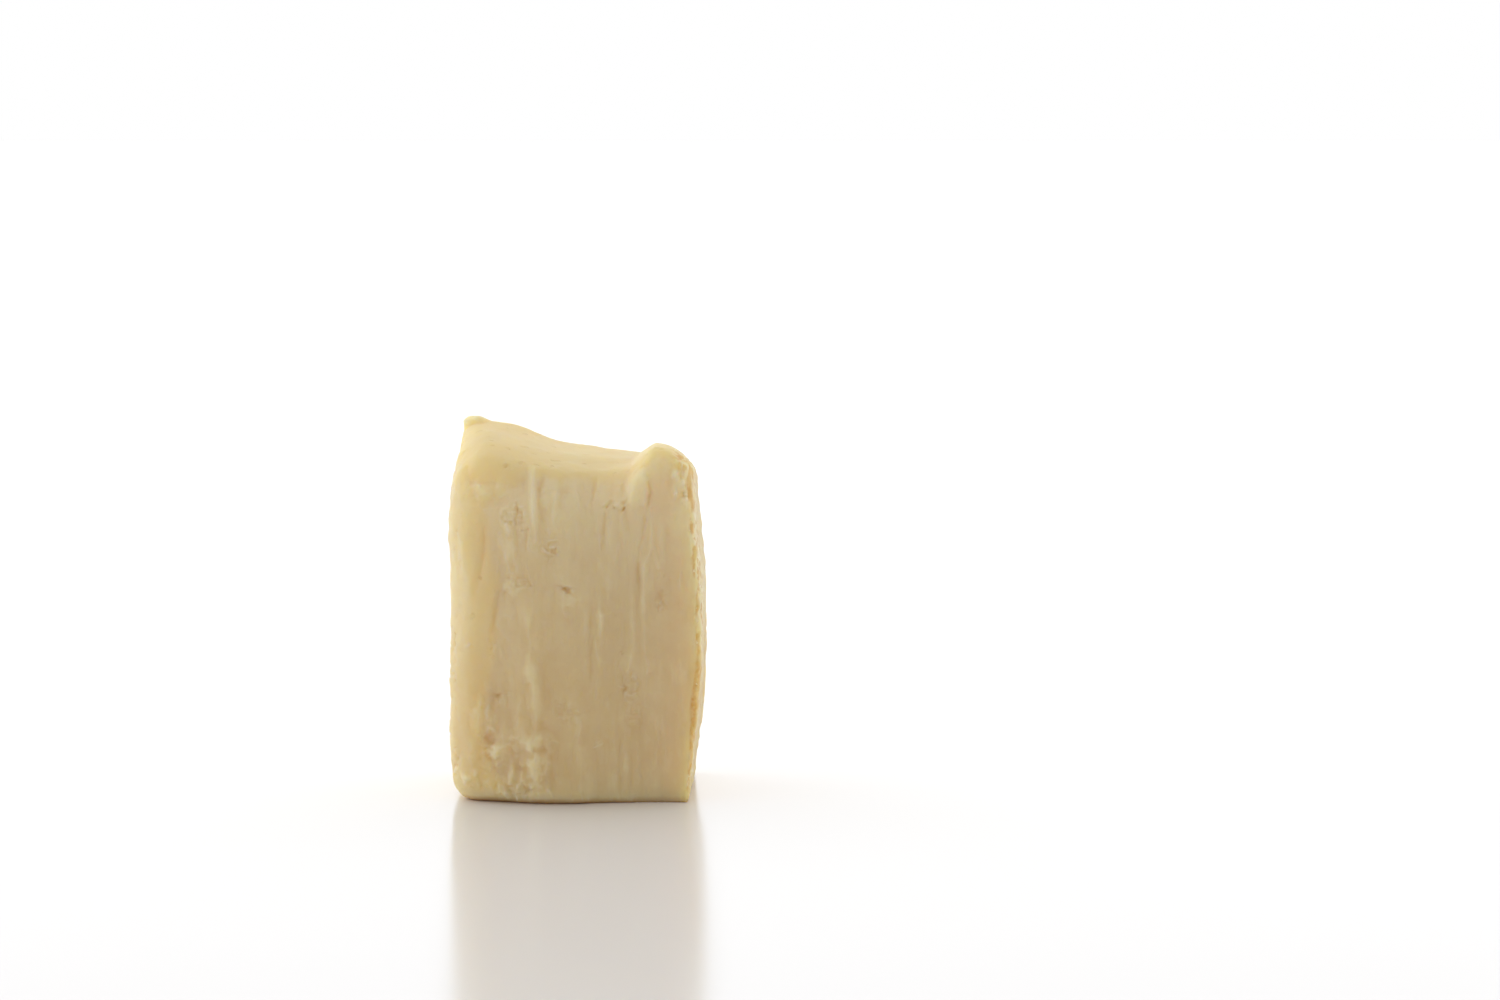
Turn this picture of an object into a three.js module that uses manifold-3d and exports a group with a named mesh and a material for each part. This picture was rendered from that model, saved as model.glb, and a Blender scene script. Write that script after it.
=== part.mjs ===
// Fudge square: one piece of cream-coloured butter fudge, cut from a slab with a dragging
// knife and stood on its end. The cut faces are scored, pitted and crumbly, the edges are
// soft, the top slopes down from a horn at its left back corner, and a smeared lobe stands
// on its right front corner.
//
// Frame: millimetres, +X to the right of the scored front face, -Y out of that face, +Z up.
// The origin is under the middle of the block, on the surface that it stands on.

import * as THREE from 'three';
import { mergeVertices } from 'three/addons/utils/BufferGeometryUtils.js';
import Module from 'manifold-3d';

// Driving dimensions, in millimetres.
const WIDTH = 24.92;
const DEPTH = 20.4;
const HEIGHT = 35.4;
const HALF_WIDTH = WIDTH / 2;
const HALF_DEPTH = DEPTH / 2;

// Rounding of the eight corners. The edges between them take values in between, and keep
// the lower corner's value until close to the top.
const RADIUS = {
  low: { frontLeft: 3.0, frontRight: 0.55, backLeft: 2.4, backRight: 1.4 },
  high: { frontLeft: 4.8, frontRight: 3.3, backLeft: 2.0, backRight: 2.6 },
};
const RADIUS_POWER = 5;
const RADIUS_WOBBLE = 0.18;

// How much the block's own weight has flattened its foot.
const FOOT_FLAT = 0.12;

// The top: a slope down to the right, a horn at the back on the left, and the lobe.
const SLOPE = { front: 0.07, back: 0.15 };
const HORN = { from: 1.5, to: 8.0, rise: 1.38, frontShare: 0.2 };
const LOBE = { from: 5.7, to: 8.7, rise: 1.95, yFull: -3, yEnd: 7 };

// The shoulder that rolls from the top into the front: how far the top drops, from the
// depth yFrom on, how far the front leans back, from the height zFrom on, the power by
// which each grows, and the stretch in front of the lobe over which both fade out.
const SHOULDER = { drop: 2.7, dropPower: 3, yFrom: 6, lean: 1.6, leanPower: 2, zFrom: 24, xFull: 1, xEnd: 9 };

// The sides: how far each stands out of, or falls short of, the plain box.
const RIGHT = { swell: 0.33, splay: 0.27, footInset: 1.15, footHeight: 8.5, topInset: 0.85, topFrom: 19 };
const LEFT = { swell: 0.5, topInset: 0.4, topFrom: 29 };
const LEFT_BELLIES = [{ z: 8, spread: 9, out: 0.2 }, { z: 28.1, spread: 3.2, out: 0.22 }];
const FRONT = { crestX: -2.4, crestWidth: 6.5, out: 0.3, fallLow: 2.1, fallHigh: 1.3 };
const BACK = { crestX: 1.5, crestWidth: 8, out: 0.45, fall: 0.5, wave: 0.12 };

// Broad dents and swellings of every face, from the slab's uneven setting.
const DENTS = { height: 0.13, lengths: [7.3, 10.7, 5.2] };

// How far above the foot the heights of the front face's marks are counted from.
const MARKS_UP = 0.35;

// Scores that the knife dragged up the front face: place, run, lean, width and height.
// A height below zero is a groove, and one above zero is a ridge.
const SCORES = [
  { x: -10.0, low: 19.5, high: 27.5, lean: 1.0, width: 0.8, height: -0.28 },
  { x: -8.6, low: 16.5, high: 20.5, lean: 0.7, width: 0.8, height: -0.25 },
  { x: -10.6, low: 6.5, high: 10.5, lean: 0.0, width: 0.7, height: -0.30 },
  { x: -4.4, low: 29.5, high: 36.5, lean: -0.4, width: 0.8, height: 0.25 },
  { x: -4.1, low: 6.0, high: 15.5, lean: -0.3, width: 0.8, height: 0.24 },
  { x: 1.6, low: 13.5, high: 22.0, lean: 0.0, width: 0.7, height: -0.20 },
  { x: 2.6, low: 10.0, high: 21.5, lean: 0.7, width: 0.7, height: 0.20 },
  { x: 2.8, low: 24.5, high: 31.5, lean: 0.1, width: 0.8, height: -0.28 },
  { x: 4.9, low: 0.4, high: 6.5, lean: 0.0, width: 0.8, height: -0.26 },
  { x: 6.5, low: 20.5, high: 28.5, lean: 0.0, width: 0.7, height: -0.25 },
  { x: 7.7, low: 25.5, high: 31.5, lean: 0.0, width: 0.8, height: 0.26 },
];

// Hollows torn out of the front face by the knife: place, half width, half height, depth.
const FRONT_PITS = [
  { x: -0.7, z: 22.3, wide: 0.9, tall: 0.35, deep: 0.5 },
  { x: -5.6, z: 22.9, wide: 0.7, tall: 0.35, deep: 0.35 },
  { x: 4.3, z: 30.6, wide: 1.2, tall: 0.35, deep: 0.45 },
  { x: -6.0, z: 29.8, wide: 0.8, tall: 0.5, deep: 0.35 },
  { x: -5.0, z: 27.6, wide: 0.45, tall: 0.9, deep: 0.35 },
  { x: -2.3, z: 28.6, wide: 0.7, tall: 0.5, deep: 0.35 },
  { x: -8.7, z: 6.8, wide: 0.7, tall: 0.65, deep: 0.45 },
  { x: -9.2, z: 5.0, wide: 0.4, tall: 0.6, deep: 0.4 },
  { x: -6.0, z: 1.6, wide: 1.0, tall: 0.45, deep: 0.4 },
  { x: 4.8, z: 11.4, wide: 0.35, tall: 0.8, deep: 0.35 },
  { x: 8.4, z: 20.1, wide: 0.3, tall: 0.8, deep: 0.35 },
];

// Crumbs, flakes and smears that stick to the front face: place, half sizes across, up and
// out. The first is the smear that hangs down from the lobe.
const FRONT_CRUMBS = [
  { x: 6.2, z: 31.8, wide: 1.2, tall: 2.0, out: 0.38 },
  { x: -10.0, z: 8.7, wide: 0.7, tall: 1.7, out: 0.35 },
  { x: -8.5, z: 5.4, wide: 1.2, tall: 0.6, out: 0.34 },
  { x: -10.8, z: 4.9, wide: 0.6, tall: 1.3, out: 0.35 },
  { x: -3.7, z: 6.0, wide: 1.2, tall: 0.8, out: 0.34 },
  { x: -4.3, z: 3.9, wide: 0.9, tall: 1.6, out: 0.34 },
  { x: -6.7, z: 3.1, wide: 0.5, tall: 1.3, out: 0.35 },
  { x: -7.4, z: 1.1, wide: 0.5, tall: 0.8, out: 0.4 },
  { x: -10.2, z: 31.6, wide: 1.3, tall: 0.7, out: 0.32 },
  { x: -2.8, z: 31.4, wide: 0.9, tall: 1.4, out: 0.32 },
];

// The ragged crumb on the tip of the horn.
const HORN_CRUMB = { x: -11.4, y: 8.0, z: 37.7, wide: 1.0, deep: 1.2, tall: 0.8 };

// Pores and slits of the other cut faces, spread by a seeded draw.
const FACE_PITS = { count: 9, margin: 2.5, wide: [0.4, 1.2], tall: [0.24, 0.42], deep: 0.4, lean: 0.6 };

// The other cut faces: the spans of the plain box that they cover, and how a pebble is
// turned about Z to lie on them.
const ACROSS = [-HALF_WIDTH, HALF_WIDTH];
const THROUGH = [-HALF_DEPTH, HALF_DEPTH];
const UP = [0, HEIGHT];
const QUARTER = Math.PI / 2;
const FACES = {
  back: { first: ACROSS, second: UP, turn: 0, seed: 11 },
  left: { first: THROUGH, second: UP, turn: QUARTER, seed: 23 },
  right: { first: THROUGH, second: UP, turn: QUARTER, seed: 37 },
};

// Mesh lines along each edge, and the roughness of a crumb's outline.
const LINES = { across: 29, through: 17, up: 33 };
const CRUMB_DETAIL = 1;
const CRUMB_ROUGHNESS = 0.16;
const PIT_ROUGHNESS = 0.12;
const SIMPLIFY = 0.02;

const mix = (from, to, share) => from + (to - from) * share;
const bump = (value, centre, spread) => Math.exp(-(((value - centre) / spread) ** 2));

// Smooth step from 0 at one value to 1 at another.
function ramp(value, from, to) {
  const share = THREE.MathUtils.clamp((value - from) / (to - from), 0, 1);
  return share * share * (3 - 2 * share);
}

// Power curve from 0 at one value to 1 at another.
function rise(value, from, to, power) {
  return THREE.MathUtils.clamp((value - from) / (to - from), 0, 1) ** power;
}

// Seeded random numbers from 0 to 1, the same in every run.
const LARGEST = 2 ** 31 - 1;

function drawFrom(seed) {
  let state = (seed * 48271) % LARGEST;
  return () => {
    state = (state * 16807) % LARGEST;
    return state / LARGEST;
  };
}

// Rounding radius at a point of the block, given as shares from 0 to 1 along X, Y and Z.
function cornerRadius(right, back, up) {
  const level = (corners) => mix(
    mix(corners.frontLeft, corners.frontRight, right),
    mix(corners.backLeft, corners.backRight, right),
    back,
  );
  const wobble = 1 + RADIUS_WOBBLE * Math.sin(9 * up + 5 * right) * Math.cos(7 * back + 4 * up);
  return mix(level(RADIUS.low), level(RADIUS.high), up ** RADIUS_POWER) * wobble;
}

// Height of the broad dents and swellings at a point, from three crossing waves.
function dentHeight(x, y, z) {
  const [first, second, third] = DENTS.lengths;
  const crossing = Math.sin((x + 0.6 * z) / first * 2 + y / second)
    + Math.sin((z - 0.7 * y) / second * 3 + 1.7)
    + Math.sin((y + 0.5 * x - 0.4 * z) / third * 2 + 4.1);
  return DENTS.height * crossing / 3;
}

// Share of the shoulder at a place across the block.
const shoulderShare = (x) => 1 - ramp(x, SHOULDER.xFull, SHOULDER.xEnd);

// Height of the top over a point of the plan.
function topHeight(x, y) {
  const back = THREE.MathUtils.clamp(y / DEPTH + 0.5, 0, 1);
  const slope = -x * mix(SLOPE.front, SLOPE.back, back);
  const horn = HORN.rise * ramp(-x, HORN.from, HORN.to) * mix(HORN.frontShare, 1, back);
  const lobe = LOBE.rise * ramp(x, LOBE.from, LOBE.to) * (1 - ramp(y, LOBE.yFull, LOBE.yEnd));
  const drop = SHOULDER.drop * rise(-y, -SHOULDER.yFrom, HALF_DEPTH, SHOULDER.dropPower) * shoulderShare(x);
  return HEIGHT + slope + horn + lobe - drop;
}

// How far each side stands out of the plain box, at a height and a place along the side.
function rightSide(y, z) {
  const splay = RIGHT.swell + RIGHT.splay * (y / HALF_DEPTH);
  const foot = RIGHT.footInset * bump(z, 0, RIGHT.footHeight);
  return splay - foot - RIGHT.topInset * ramp(z, RIGHT.topFrom, HEIGHT);
}

function leftSide(z) {
  const bellies = LEFT_BELLIES.reduce((sum, belly) => sum + belly.out * bump(z, belly.z, belly.spread), 0);
  return LEFT.swell + bellies - LEFT.topInset * ramp(z, LEFT.topFrom, HEIGHT);
}

function frontSide(x, z) {
  const fall = mix(FRONT.fallLow, FRONT.fallHigh, ramp(z, 0, HEIGHT));
  const lean = SHOULDER.lean * rise(z, SHOULDER.zFrom, HEIGHT, SHOULDER.leanPower) * shoulderShare(x);
  return FRONT.out - fall * (1 - bump(x, FRONT.crestX, FRONT.crestWidth)) - lean;
}

function backSide(x, z) {
  const wave = BACK.wave * (Math.sin(z / 4.5) + Math.sin(x / 2.9 + 1));
  return BACK.out + wave - BACK.fall * (1 - bump(x, BACK.crestX, BACK.crestWidth));
}

// The knife's scores: each is a rounded groove or ridge that fades out at its ends.
function scoreHeight(x, z) {
  return SCORES.reduce((sum, score) => {
    const along = (z - MARKS_UP - score.low) / (score.high - score.low);
    const fade = ramp(along, -0.1, 0.15) * (1 - ramp(along, 0.85, 1.1));
    const centre = score.x + score.lean * (along - 0.5);
    return sum + score.height * bump(x, centre, score.width) * fade;
  }, 0);
}

// The block's form at a point of the plain box's surface: corners rounded, then each side
// and the top moved to its place in proportion to how near to it the point lies.
function formPoint(x, y, z) {
  const radius = cornerRadius(x / WIDTH + 0.5, y / DEPTH + 0.5, z / HEIGHT);
  const core = new THREE.Vector3(
    THREE.MathUtils.clamp(x, radius - HALF_WIDTH, HALF_WIDTH - radius),
    THREE.MathUtils.clamp(y, radius - HALF_DEPTH, HALF_DEPTH - radius),
    THREE.MathUtils.clamp(z, radius, HEIGHT - radius),
  );
  const outward = new THREE.Vector3(x, y, z).sub(core);
  const dent = dentHeight(x, y, z) * ramp(z, 0, 2);
  const round = core.add(outward.setLength(radius + dent));
  const right = round.x / WIDTH + 0.5;
  const back = round.y / DEPTH + 0.5;
  const nearFront = ramp(-round.y, HALF_DEPTH - 4, HALF_DEPTH - 1);
  const front = frontSide(round.x, round.z) * (1 - back) + scoreHeight(round.x, round.z) * nearFront;
  return new THREE.Vector3(
    round.x + rightSide(round.y, round.z) * right - leftSide(round.z) * (1 - right),
    round.y + backSide(round.x, round.z) * back - front,
    round.z * (topHeight(round.x, round.y) / HEIGHT),
  );
}

// Closed mesh of the block: a box of even lines with its shared corners merged, and each
// corner moved to the block's form.
function blockGeometry() {
  const box = new THREE.BoxGeometry(WIDTH, DEPTH, HEIGHT, LINES.across, LINES.through, LINES.up);
  box.deleteAttribute('normal');
  box.deleteAttribute('uv');
  box.translate(0, 0, HEIGHT / 2);
  const merged = mergeVertices(box, 1e-4);
  const position = merged.attributes.position;
  for (let index = 0; index < position.count; index += 1) {
    const point = formPoint(position.getX(index), position.getY(index), position.getZ(index));
    position.setXYZ(index, point.x, point.y, point.z);
  }
  return merged;
}

// An uneven pebble of the given half sizes, for a crumb or for the hollow it leaves.
function pebbleGeometry(halfX, halfY, halfZ, roughness, seed) {
  const ball = new THREE.IcosahedronGeometry(1, CRUMB_DETAIL);
  ball.deleteAttribute('normal');
  ball.deleteAttribute('uv');
  const merged = mergeVertices(ball, 1e-4);
  const draw = drawFrom(seed);
  const position = merged.attributes.position;
  for (let index = 0; index < position.count; index += 1) {
    const swell = 1 + roughness * (2 * draw() - 1);
    position.setXYZ(
      index,
      position.getX(index) * halfX * swell,
      position.getY(index) * halfY * swell,
      position.getZ(index) * halfZ * swell,
    );
  }
  return merged;
}

// Point of the finished surface that a point of the plain box's face comes to.
const facePoints = {
  front: (x, z) => formPoint(x, -HALF_DEPTH, z),
  back: (x, z) => formPoint(x, HALF_DEPTH, z),
  left: (y, z) => formPoint(-HALF_WIDTH, y, z),
  right: (y, z) => formPoint(HALF_WIDTH, y, z),
};

// Pebbles on the front face. A crumb stands out of it, and a pit's pebble is cut from it.
function frontPebbles(rows, outKey, roughness, firstSeed) {
  return rows.map((row, index) => {
    const scale = HEIGHT / topHeight(row.x, -HALF_DEPTH);
    const place = facePoints.front(row.x, (row.z + MARKS_UP) * scale);
    const pebble = pebbleGeometry(row.wide, row[outKey], row.tall, roughness, firstSeed + index);
    return pebble.translate(place.x, place.y, place.z);
  });
}

// Pits of one of the other cut faces, spread over it inside its margin. Most are small.
function facePits(name) {
  const face = FACES[name];
  const draw = drawFrom(face.seed);
  const within = ([from, to], share) => mix(from + FACE_PITS.margin, to - FACE_PITS.margin, share);
  return Array.from({ length: FACE_PITS.count }, (_, index) => {
    const first = within(face.first, draw());
    const second = within(face.second, (index + draw()) / FACE_PITS.count);
    const wide = mix(...FACE_PITS.wide, draw() ** 2);
    const tall = mix(...FACE_PITS.tall, draw());
    const lean = FACE_PITS.lean * (2 * draw() - 1);
    const pebble = pebbleGeometry(wide, FACE_PITS.deep, tall, PIT_ROUGHNESS, face.seed + index);
    pebble.rotateY(lean).rotateZ(face.turn);
    const place = facePoints[name](first, second);
    return pebble.translate(place.x, place.y, place.z);
  });
}

// Between a three.js mesh and a solid that can be joined and cut.
function toSolid(wasm, geometry) {
  const vertProperties = new Float32Array(geometry.attributes.position.array);
  const triVerts = new Uint32Array(geometry.index.array);
  return new wasm.Manifold(new wasm.Mesh({ numProp: 3, vertProperties, triVerts }));
}

function toGeometry(solid) {
  const mesh = solid.getMesh();
  const geometry = new THREE.BufferGeometry();
  geometry.setAttribute('position', new THREE.BufferAttribute(new Float32Array(mesh.vertProperties), 3));
  geometry.setIndex(new THREE.BufferAttribute(new Uint32Array(mesh.triVerts), 1));
  return geometry;
}

// The whole block: crumbs joined to it, pits cut from it, and its base under the origin.
async function fudgeGeometry() {
  const wasm = await Module();
  wasm.setup();
  const horn = pebbleGeometry(HORN_CRUMB.wide, HORN_CRUMB.deep, HORN_CRUMB.tall, CRUMB_ROUGHNESS, 5);
  horn.translate(HORN_CRUMB.x, HORN_CRUMB.y, HORN_CRUMB.z);
  const crumbs = [horn, ...frontPebbles(FRONT_CRUMBS, 'out', CRUMB_ROUGHNESS, 101)];
  const pits = frontPebbles(FRONT_PITS, 'deep', PIT_ROUGHNESS, 211);
  Object.keys(FACES).forEach((face) => pits.push(...facePits(face)));
  let solid = toSolid(wasm, blockGeometry());
  crumbs.forEach((crumb) => { solid = solid.add(toSolid(wasm, crumb)); });
  pits.forEach((pit) => { solid = solid.subtract(toSolid(wasm, pit)); });
  const flattened = solid.trimByPlane([0, 0, 1], FOOT_FLAT).simplify(SIMPLIFY);
  const geometry = toGeometry(flattened);
  geometry.computeBoundingBox();
  const centre = geometry.boundingBox.getCenter(new THREE.Vector3());
  geometry.translate(-centre.x, -centre.y, -geometry.boundingBox.min.z);
  geometry.computeVertexNormals();
  return geometry;
}

const fudge = new THREE.MeshStandardMaterial({
  name: 'fudge',
  color: new THREE.Color('#dcc493'),
  roughness: 0.5,
  metalness: 0,
});

const group = new THREE.Group();
const block = new THREE.Mesh(await fudgeGeometry(), fudge);
block.name = 'fudge_square';
group.add(block);

export default group;
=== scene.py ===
"""A block of cream-coloured butter fudge, cut from a slab with a dragging knife and stood on
its end on a glossy white table, with its light coming from behind and from the sides."""

import bpy
import numpy as np
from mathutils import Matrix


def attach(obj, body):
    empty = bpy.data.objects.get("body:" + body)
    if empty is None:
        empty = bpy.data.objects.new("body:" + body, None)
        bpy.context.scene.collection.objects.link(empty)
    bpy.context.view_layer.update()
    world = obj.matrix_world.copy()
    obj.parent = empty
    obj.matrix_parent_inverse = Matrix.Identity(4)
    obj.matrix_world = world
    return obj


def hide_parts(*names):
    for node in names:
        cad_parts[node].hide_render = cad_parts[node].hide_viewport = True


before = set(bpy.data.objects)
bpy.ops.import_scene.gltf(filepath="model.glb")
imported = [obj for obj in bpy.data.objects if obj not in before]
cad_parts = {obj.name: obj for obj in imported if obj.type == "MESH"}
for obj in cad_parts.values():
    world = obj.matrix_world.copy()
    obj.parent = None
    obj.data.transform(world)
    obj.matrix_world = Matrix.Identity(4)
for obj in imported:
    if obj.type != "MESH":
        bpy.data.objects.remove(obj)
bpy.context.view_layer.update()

# ---------------------------------------------------------------------------------------
# The block. Real fudge of this kind is boiled sugar, butter and milk, beaten until it
# grains, set in a tray and cut with a knife. The knife drags the soft cut face into
# vertical scores, tears pits in it and smears lips of fudge over its upper edge.
# ---------------------------------------------------------------------------------------

# Sizes are in millimetres. The shift puts the origin in the middle of the finished block's
# foot, which its own weight has pressed flat.
MM = 0.001
WIDTH, DEPTH, HEIGHT = 24.92, 20.4, 35.4
HALF_WIDTH, HALF_DEPTH = WIDTH / 2, DEPTH / 2
FOOT_FLAT = 0.12
ORIGIN_SHIFT = np.array([0.1296, -0.1093, -FOOT_FLAT])

# The rounding of the upright edges, at the foot and at the top.
RADIUS_LOW = {"front_left": 3.0, "front_right": 0.55, "back_left": 2.4, "back_right": 1.4}
RADIUS_HIGH = {"front_left": 4.8, "front_right": 3.3, "back_left": 2.0, "back_right": 2.6}
RADIUS_POWER, RADIUS_WOBBLE = 5, 0.18

# The top: its slopes, the raised horn at the left, the lobe at the right, and the front edge,
# which rolls over and leans back.
SLOPE_FRONT, SLOPE_BACK = 0.07, 0.15
HORN_FROM, HORN_TO, HORN_RISE, HORN_FRONT_SHARE = 1.5, 8.0, 1.38, 0.2
LOBE_FROM, LOBE_TO, LOBE_RISE, LOBE_Y_FULL, LOBE_Y_END = 5.7, 8.7, 1.95, -3.0, 7.0
ROLL_DROP, ROLL_TO, ROLL_LEAN, ROLL_FROM, ROLL_END = 2.7, 6.0, 1.6, 24.0, (1.0, 9.0)
DROP_POWER, LEAN_POWER = 3, 2

# The sides: how far each stands out, and the places of its foot, top, bellies and crest.
RIGHT_SWELL, RIGHT_SPLAY, RIGHT_FOOT, RIGHT_FOOT_HEIGHT = 0.33, 0.27, 1.15, 8.5
RIGHT_TOP, RIGHT_TOP_FROM = 0.85, 19.0
LEFT_SWELL, LEFT_TOP, LEFT_TOP_FROM = 0.5, 0.4, 29.0
LEFT_BELLIES = ((8.0, 9.0, 0.2), (28.1, 3.2, 0.22))
FRONT_CREST, FRONT_CREST_WIDTH, FRONT_OUT = -2.4, 6.5, 0.3
FRONT_FALL_LOW, FRONT_FALL_HIGH = 2.1, 1.3
BACK_CREST, BACK_CREST_WIDTH, BACK_OUT, BACK_FALL = 1.5, 8.0, 0.45, 0.5
BACK_WAVE, BACK_WAVE_UP, BACK_WAVE_ACROSS = 0.12, 4.5, 2.9
DENT_HEIGHT, DENT_LENGTHS, DENT_FADE = 0.13, (7.3, 10.7, 5.2), 2

# The ragged crumb on the tip of the horn: its middle, half sizes and push, where it fades,
# and the heights, cell sizes and seeds of its noise.
HORN_CRUMB_AT, HORN_CRUMB_HALF = np.array([-11.1, 8.4, 37.65]), np.array([1.35, 1.5, 1.4])
HORN_CRUMB_PUSH, HORN_CRUMB_FADE = np.array([-0.5, 0.0, 0.42]), (0.75, 1.1)
HORN_CRUMB_RAGGED, HORN_CRUMB_UNEVEN = ((0.22, 0.7, 61),), ((0.3, 0.7, 62),)

# Cells of the surface's lattice along each side of the box.
CELLS_ACROSS, CELLS_THROUGH, CELLS_UP = 92, 74, 128


def mix(start, end, share):
    """Straight-line blend: start plus share times the difference."""
    return start + (end - start) * share


def bump(value, centre, spread):
    """Bell curve: e to the minus square of the distance from centre in spreads."""
    return np.exp(-(((value - centre) / spread) ** 2))


def ramp(value, start, end):
    """Smooth step: 3 s squared minus 2 s cubed, with s running from 0 at start to 1 at end."""
    share = np.clip((value - start) / (end - start), 0.0, 1.0)
    return share * share * (3.0 - 2.0 * share)


def rise(value, start, end, power):
    """Power curve: s to the power, with s running from 0 at start to 1 at end."""
    return np.clip((value - start) / (end - start), 0.0, 1.0) ** power


def corner_radius(right, back, up):
    """Rounding at a point given by shares: the corner values blended across and through,
    then from the low set to the high one by a power of the height, times a slow wobble."""
    def level(corners):
        front = mix(corners["front_left"], corners["front_right"], right)
        return mix(front, mix(corners["back_left"], corners["back_right"], right), back)
    wobble = 1 + RADIUS_WOBBLE * np.sin(9 * up + 5 * right) * np.cos(7 * back + 4 * up)
    return mix(level(RADIUS_LOW), level(RADIUS_HIGH), up ** RADIUS_POWER) * wobble


def dent_height(x, y, z):
    """Broad dents: the mean of three sine waves that cross the block at a slant."""
    first, second, third = DENT_LENGTHS
    crossing = np.sin((x + 0.6 * z) / first * 2 + y / second)
    crossing = crossing + np.sin((z - 0.7 * y) / second * 3 + 1.7)
    crossing = crossing + np.sin((y + 0.5 * x - 0.4 * z) / third * 2 + 4.1)
    return DENT_HEIGHT * crossing / 3


def top_height(x, y):
    """Height of the top: a slope to the right, steeper at the back, plus horn and lobe, and
    rolled down towards the front edge, less and less towards the lobe."""
    back = np.clip(y / DEPTH + 0.5, 0, 1)
    slope = -x * mix(SLOPE_FRONT, SLOPE_BACK, back)
    horn = HORN_RISE * ramp(-x, HORN_FROM, HORN_TO) * mix(HORN_FRONT_SHARE, 1, back)
    lobe = LOBE_RISE * ramp(x, LOBE_FROM, LOBE_TO) * (1 - ramp(y, LOBE_Y_FULL, LOBE_Y_END))
    roll = ROLL_DROP * rise(-y, -ROLL_TO, HALF_DEPTH, DROP_POWER) * (1 - ramp(x, *ROLL_END))
    return HEIGHT + slope + horn + lobe - roll


def right_side(y, z):
    """How far the right side stands out: splayed to the back, drawn in at foot and top."""
    splay = RIGHT_SWELL + RIGHT_SPLAY * (y / HALF_DEPTH)
    foot = RIGHT_FOOT * bump(z, 0, RIGHT_FOOT_HEIGHT)
    return splay - foot - RIGHT_TOP * ramp(z, RIGHT_TOP_FROM, HEIGHT)


def left_side(z):
    """How far the left side stands out: two bellies, drawn in at the top."""
    bellies = sum(out * bump(z, height, spread) for height, spread, out in LEFT_BELLIES)
    return LEFT_SWELL + bellies - LEFT_TOP * ramp(z, LEFT_TOP_FROM, HEIGHT)


def front_side(x, z):
    """How far the front stands out: a crest left of the middle, flatter towards the top,
    where the face leans back into the rolled edge."""
    fall = mix(FRONT_FALL_LOW, FRONT_FALL_HIGH, ramp(z, 0, HEIGHT))
    lean = ROLL_LEAN * rise(z, ROLL_FROM, HEIGHT, LEAN_POWER) * (1 - ramp(x, *ROLL_END))
    return FRONT_OUT - fall * (1 - bump(x, FRONT_CREST, FRONT_CREST_WIDTH)) - lean


def back_side(x, z):
    """How far the back stands out: a gentle crest with slow waves."""
    wave = BACK_WAVE * (np.sin(z / BACK_WAVE_UP) + np.sin(x / BACK_WAVE_ACROSS + 1))
    return BACK_OUT + wave - BACK_FALL * (1 - bump(x, BACK_CREST, BACK_CREST_WIDTH))


def block_form(box):
    """The block's form at points of a plain box: each point is pushed out from the box's
    core by the rounding radius, and each side and the top are then moved to their place in
    proportion to how near to them the point lies."""
    across, through, up = box.T
    radius = corner_radius(across / WIDTH + 0.5, through / DEPTH + 0.5, up / HEIGHT)
    core = np.stack([
        np.clip(across, radius - HALF_WIDTH, HALF_WIDTH - radius),
        np.clip(through, radius - HALF_DEPTH, HALF_DEPTH - radius),
        np.clip(up, radius, HEIGHT - radius),
    ], axis=1)
    outward = box - core
    dent = dent_height(across, through, up) * ramp(up, 0, DENT_FADE)
    reach = (radius + dent) / np.linalg.norm(outward, axis=1)
    x, y, z = (core + outward * reach[:, None]).T
    right, back = x / WIDTH + 0.5, y / DEPTH + 0.5
    return np.stack([
        x + right_side(y, z) * right - left_side(z) * (1 - right),
        y + back_side(x, z) * back - front_side(x, z) * (1 - back),
        z * top_height(x, y) / HEIGHT,
    ], axis=1)


def horn_crumb_push(form):
    """How far points near the tip of the horn are pushed out by the ragged crumb on it: the
    full push within the crumb's half sizes, varied by noise and falling off steeply."""
    reach = np.linalg.norm((form - HORN_CRUMB_AT) / HORN_CRUMB_HALF, axis=1)
    reach += noise_sum(form, HORN_CRUMB_RAGGED)
    share = (1 - ramp(reach, *HORN_CRUMB_FADE)) * (1 + noise_sum(form, HORN_CRUMB_UNEVEN))
    return HORN_CRUMB_PUSH * share[:, None]


def face_quads(fixed_axis, fixed_at, spans, step, flip):
    """Quads of one face of the box's lattice, as corner numbers along X, Y and Z: every
    step-th line along the two free axes, turned over where the face looks the other way."""
    first_axis, second_axis = [axis for axis in range(3) if axis != fixed_axis]
    first, second = np.meshgrid(
        np.arange(0, spans[first_axis], step[first_axis]),
        np.arange(0, spans[second_axis], step[second_axis]), indexing="ij")
    corners = [(0, 0), (1, 0), (1, 1), (0, 1)]
    quads = np.empty((first.size, 4, 3), dtype=np.int64)
    for number, (along_first, along_second) in enumerate(corners[::-1] if flip else corners):
        quads[:, number, fixed_axis] = fixed_at
        quads[:, number, first_axis] = first.ravel() + along_first * step[first_axis]
        quads[:, number, second_axis] = second.ravel() + along_second * step[second_axis]
    return quads


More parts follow.
